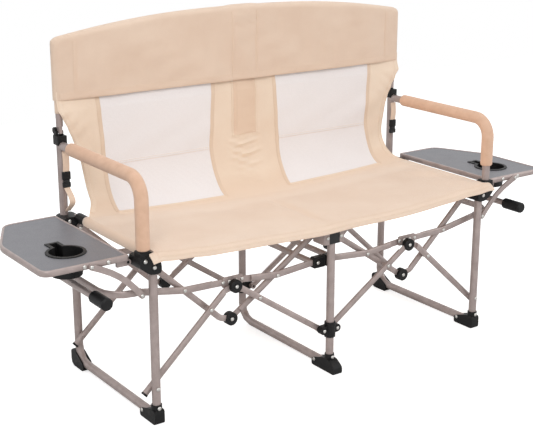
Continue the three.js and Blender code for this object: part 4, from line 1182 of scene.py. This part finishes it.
def make_link_ends(spots):
    """Black end blocks where the link tubes meet the centre legs; the right front one is short."""
    for side, sign in SIDES:
        low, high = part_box(f"{side}_lock_link")
        tube_end = min(abs(low.x), abs(high.x))
        for end, turn in ENDS:
            short = side == "right" and end == "front"
            reach = tube_end + LINK_END_SHORT if short else LINK_END_X[1]
            x0, x1 = sorted((-sign * LINK_END_X[0], -sign * reach))
            y0, y1 = sorted(-y * turn for y in LINK_END_Y)
            z0, z1 = LINK_END_Z
            block(f"{side}_{end}_link_end", (x0, y0, z0), (x1, y1, z1), BLACK, f"{side}_link", 0.004)
            if not short:
                x, y, z = LINK_END_RIVET
                spots[f"{side}_link"].append((Vector((-sign * x, -y * turn, z)), (0, -turn, 0)))


def make_end_caps():
    """Black plugs over the lower ends of the braces."""
    for side, _ in SIDES:
        leg, cross = PIVOTS[f"{side}_leg_pivot"], PIVOTS[f"{side}_outer_cross"]
        away = (leg - cross).normalized()
        away = Vector((away.x, 0, away.z))
        for end, turn in ENDS:
            start = Vector((leg.x, -BRACE_Y * turn, leg.z)) + away * BRACE_REACH
            path = [start + away * t for t in CAP_RINGS]
            cap = swept(f"{side}_{end}_brace_cap", path, oval(CAP_THICK, CAP_TALL), Y_AXIS, BLACK)
            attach(cap, f"{side}_lower_outer")


# Straps with side-release buckles beside the rear posts
def strap(name, x, path, width, thick, material, body):
    """A flat band along (y, z) places at one x."""
    made = swept(name, [(x, y, z) for y, z in path], rectangle(width, thick), X_AXIS, material)
    soften(made, thick * 0.3, 2)
    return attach(made, body)


def make_straps():
    for side, sign in SIDES:
        x, body = -sign * STRAP_X, f"{side}_arms"
        upper = [
            (STRAP_Y - STRAP_BOW * math.sin(t * 3.1), STRAP_TOP_Z - STRAP_DROP * t)
            for t in np.linspace(0, 1, 8)
        ]
        strap(f"{side}_strap", x, upper, STRAP_WIDTH, STRAP_THICK, BEIGE, body)
        for part, z0, z1, wide in BUCKLE:
            run = [(STRAP_Y, z0 + (z1 - z0) * t) for t in (0.0, 0.12, 0.88, 1.0)]
            strap(f"{side}_buckle_{part}", x, run, wide, BUCKLE_THICK, BLACK, body)
    loop = [
        (STRAP_Y - LOOP_REACH * math.sin(t * math.pi) ** 1.4, LOOP_TOP_Z - LOOP_DROP * t)
        for t in np.linspace(0, 1, 14)
    ]
    strap("left_strap_loop", -STRAP_X, loop, LOOP_WIDTH, LOOP_THICK, BEIGE, "left_arms")


# Table edges
def table_outline(sign):
    """Rounded outline of a table, as in its panel: inner front corner first."""
    low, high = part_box("left_table_top")
    inner = -TABLE_INNER_X
    corners = [(inner, low.y), (low.x, low.y), (low.x, TABLE_CHAMFER_Y)]
    corners += [(-TABLE_CHAMFER_X, high.y), (inner, high.y)]
    corners = [Vector((x * sign, y)) for x, y in corners]
    points = []
    for k, (corner, radius) in enumerate(zip(corners, TABLE_RADII)):
        before, after = corners[k - 1], corners[(k + 1) % len(corners)]
        into = corner + (before - corner).normalized() * radius
        out = corner + (after - corner).normalized() * radius
        for t in np.linspace(0, 1, 9):
            points.append(into.lerp(corner, t).lerp(corner.lerp(out, t), t))
    return points


def make_table_edges():
    """Metal bands round the tables, lipped over the panel above and below."""
    _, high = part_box("left_table_top")
    top, base = high.z, high.z - TABLE_THICK
    for side, sign in SIDES:
        outline = table_outline(sign)
        count = len(outline)
        middle = sum(outline, Vector((0, 0))) / count
        profile = [(-0.0052, top), (-0.0044, top + 0.0014)]
        profile += [(-0.0006, top + 0.0014), (TABLE_EDGE, top), (TABLE_EDGE, base)]
        profile += [(-0.0006, base - 0.0012), (-0.0046, base - 0.0012), (-0.0052, base)]
        vertices = []
        for k, point in enumerate(outline):
            tangent = (outline[(k + 1) % count] - outline[k - 1]).normalized()
            normal = Vector((tangent.y, -tangent.x))
            if normal.dot(point - middle) < 0:
                normal = -normal
            for reach, z in profile:
                spot = point + normal * reach
                vertices.append(Vector((spot.x, spot.y, z)))
        faces = ring_faces(count, len(profile), closed=True)
        edge = outward(piece(f"{side}_table_edge", vertices, faces, POWDER_COAT))
        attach(edge, f"{side}_table")


# Finish of the CAD nodes that stay in view
def finish_of(name):
    black = ("foot", "bracket", "back_hinge", "grip", "cup_holder", "sleeve")
    if name.endswith("table_top"):
        return PANEL
    return BLACK if name.endswith(black) else POWDER_COAT


def second_finish(node, material, chosen):
    """Gives the chosen faces of a node another material."""
    node.data.materials.append(material)
    for polygon in node.data.polygons:
        polygon.material_index = 1 if chosen(polygon.center) else 0


def in_post_head(centre):
    return abs(centre.y) > HEAD_Y and HEAD_Z[0] < centre.z < HEAD_Z[1]


def in_table_tab(centre):
    return abs(centre.x) < TABLE_INNER_X - 0.001 or centre.z < TABLE_TAB_Z


def dress_nodes():
    for name, node in frame["nodes"].items():
        if node.hide_render:
            continue
        node.data.materials.clear()
        node.data.materials.append(finish_of(name))
        if name in ("centre_rail", "centre_rear_post"):
            second_finish(node, POST_HEAD, in_post_head)
        if name.endswith("table_top"):
            second_finish(node, POWDER_COAT, in_table_tab)
        shade = node.modifiers.new("round_shading", "NODES")
        shade.node_group = ROUND_SHADING.tree
        if finish_of(name) is BLACK:
            bevel = soften(node, 0.0012, 2)
            bevel.limit_method, bevel.angle_limit = "ANGLE", SHARP


# Stage, light and camera
def make_stage():
    size, y_wall = 6.0, 3.2
    vertices = [(-size, -size, 0), (size, -size, 0), (size, y_wall, 0), (-size, y_wall, 0)]
    floor = piece("pale_floor", vertices, [(0, 1, 2, 3)], make_floor())


def make_floor():
    shader = Shader("pale_floor", 0.9)
    tone = shader.noise(shader.coordinates(), 2)
    shader.base_colour(shader.ramp(tone, mix_tints((0.86, 0.86, 0.86, 1), (0.9, 0.9, 0.9, 1))))
    plain = shader.surface.outputs["BSDF"]
    seen = shader.node("ShaderNodeLightPath").outputs["Is Camera Ray"]
    glow = shader.node("ShaderNodeEmission", {"Color": WHITE, "Strength": FLOOR_GLOW})
    both = shader.node("ShaderNodeAddShader", {0: plain, 1: glow.outputs["Emission"]})
    pick = shader.node("ShaderNodeMixShader", {"Fac": seen, 1: plain, 2: both.outputs["Shader"]})
    out = shader.tree.nodes["Material Output"]
    shader.tree.links.new(pick.outputs["Shader"], out.inputs["Surface"])
    return shader.material


def make_world():
    """Soft light all round; the camera and reflections see it white."""
    world = bpy.data.worlds.new("pale_studio")
    bpy.context.scene.world = world
    world.use_nodes = True
    tree = world.node_tree
    path = add_node(tree, "ShaderNodeLightPath").outputs
    rays = {0: path["Is Camera Ray"], 1: path["Is Glossy Ray"]}
    seen = add_node(tree, "ShaderNodeMath", rays, operation="MAXIMUM").outputs["Value"]
    levels = {"Value": seen, "To Min": WORLD_LIGHT, "To Max": 1.0}
    strength = add_node(tree, "ShaderNodeMapRange", levels).outputs["Result"]
    background = tree.nodes["Background"].inputs
    set_input(tree, background["Color"], WHITE)
    set_input(tree, background["Strength"], strength)


def lamp(name, place, power, size):
    data = bpy.data.lights.new(name, "AREA")
    data.energy, data.size = power, size
    made = shown(name, data)
    made.location = place
    made.rotation_euler = (Vector(LIT_POINT) - Vector(place)).to_track_quat("-Z", "Y").to_euler()


def make_camera():
    azimuth, elevation = (math.radians(angle) for angle in CAMERA_ANGLES)
    level = math.cos(elevation)
    forward = Vector((math.sin(azimuth) * level, math.cos(azimuth) * level, -math.sin(elevation)))
    data = bpy.data.cameras.new("photo_view")
    data.sensor_width, data.lens = CAMERA_SENSOR, CAMERA_LENS
    made = shown("photo_view", data)
    made.location = Vector(CAMERA_TARGET) - forward * CAMERA_DISTANCE
    made.rotation_euler = forward.to_track_quat("-Z", "Y").to_euler()
    bpy.context.scene.camera = made


def build():
    make_seat_and_back()
    make_hood()
    make_seams()
    make_sleeves()
    make_arm_pads()
    heads = rivet_spots()
    make_hubs(heads)
    make_link_ends(heads)
    make_rivets(heads)
    make_end_caps()
    make_straps()
    make_table_edges()
    dress_nodes()
    make_stage()
    make_world()
    lamp("key", (-2.2, -2.6, 3.0), 66, 2.2)
    lamp("fill", (2.8, -1.8, 2.0), 26, 2.4)
    lamp("top", (0, 0.6, 3.2), 26, 3.0)
    make_camera()
    bpy.context.scene.view_settings.view_transform = "Standard"


build()
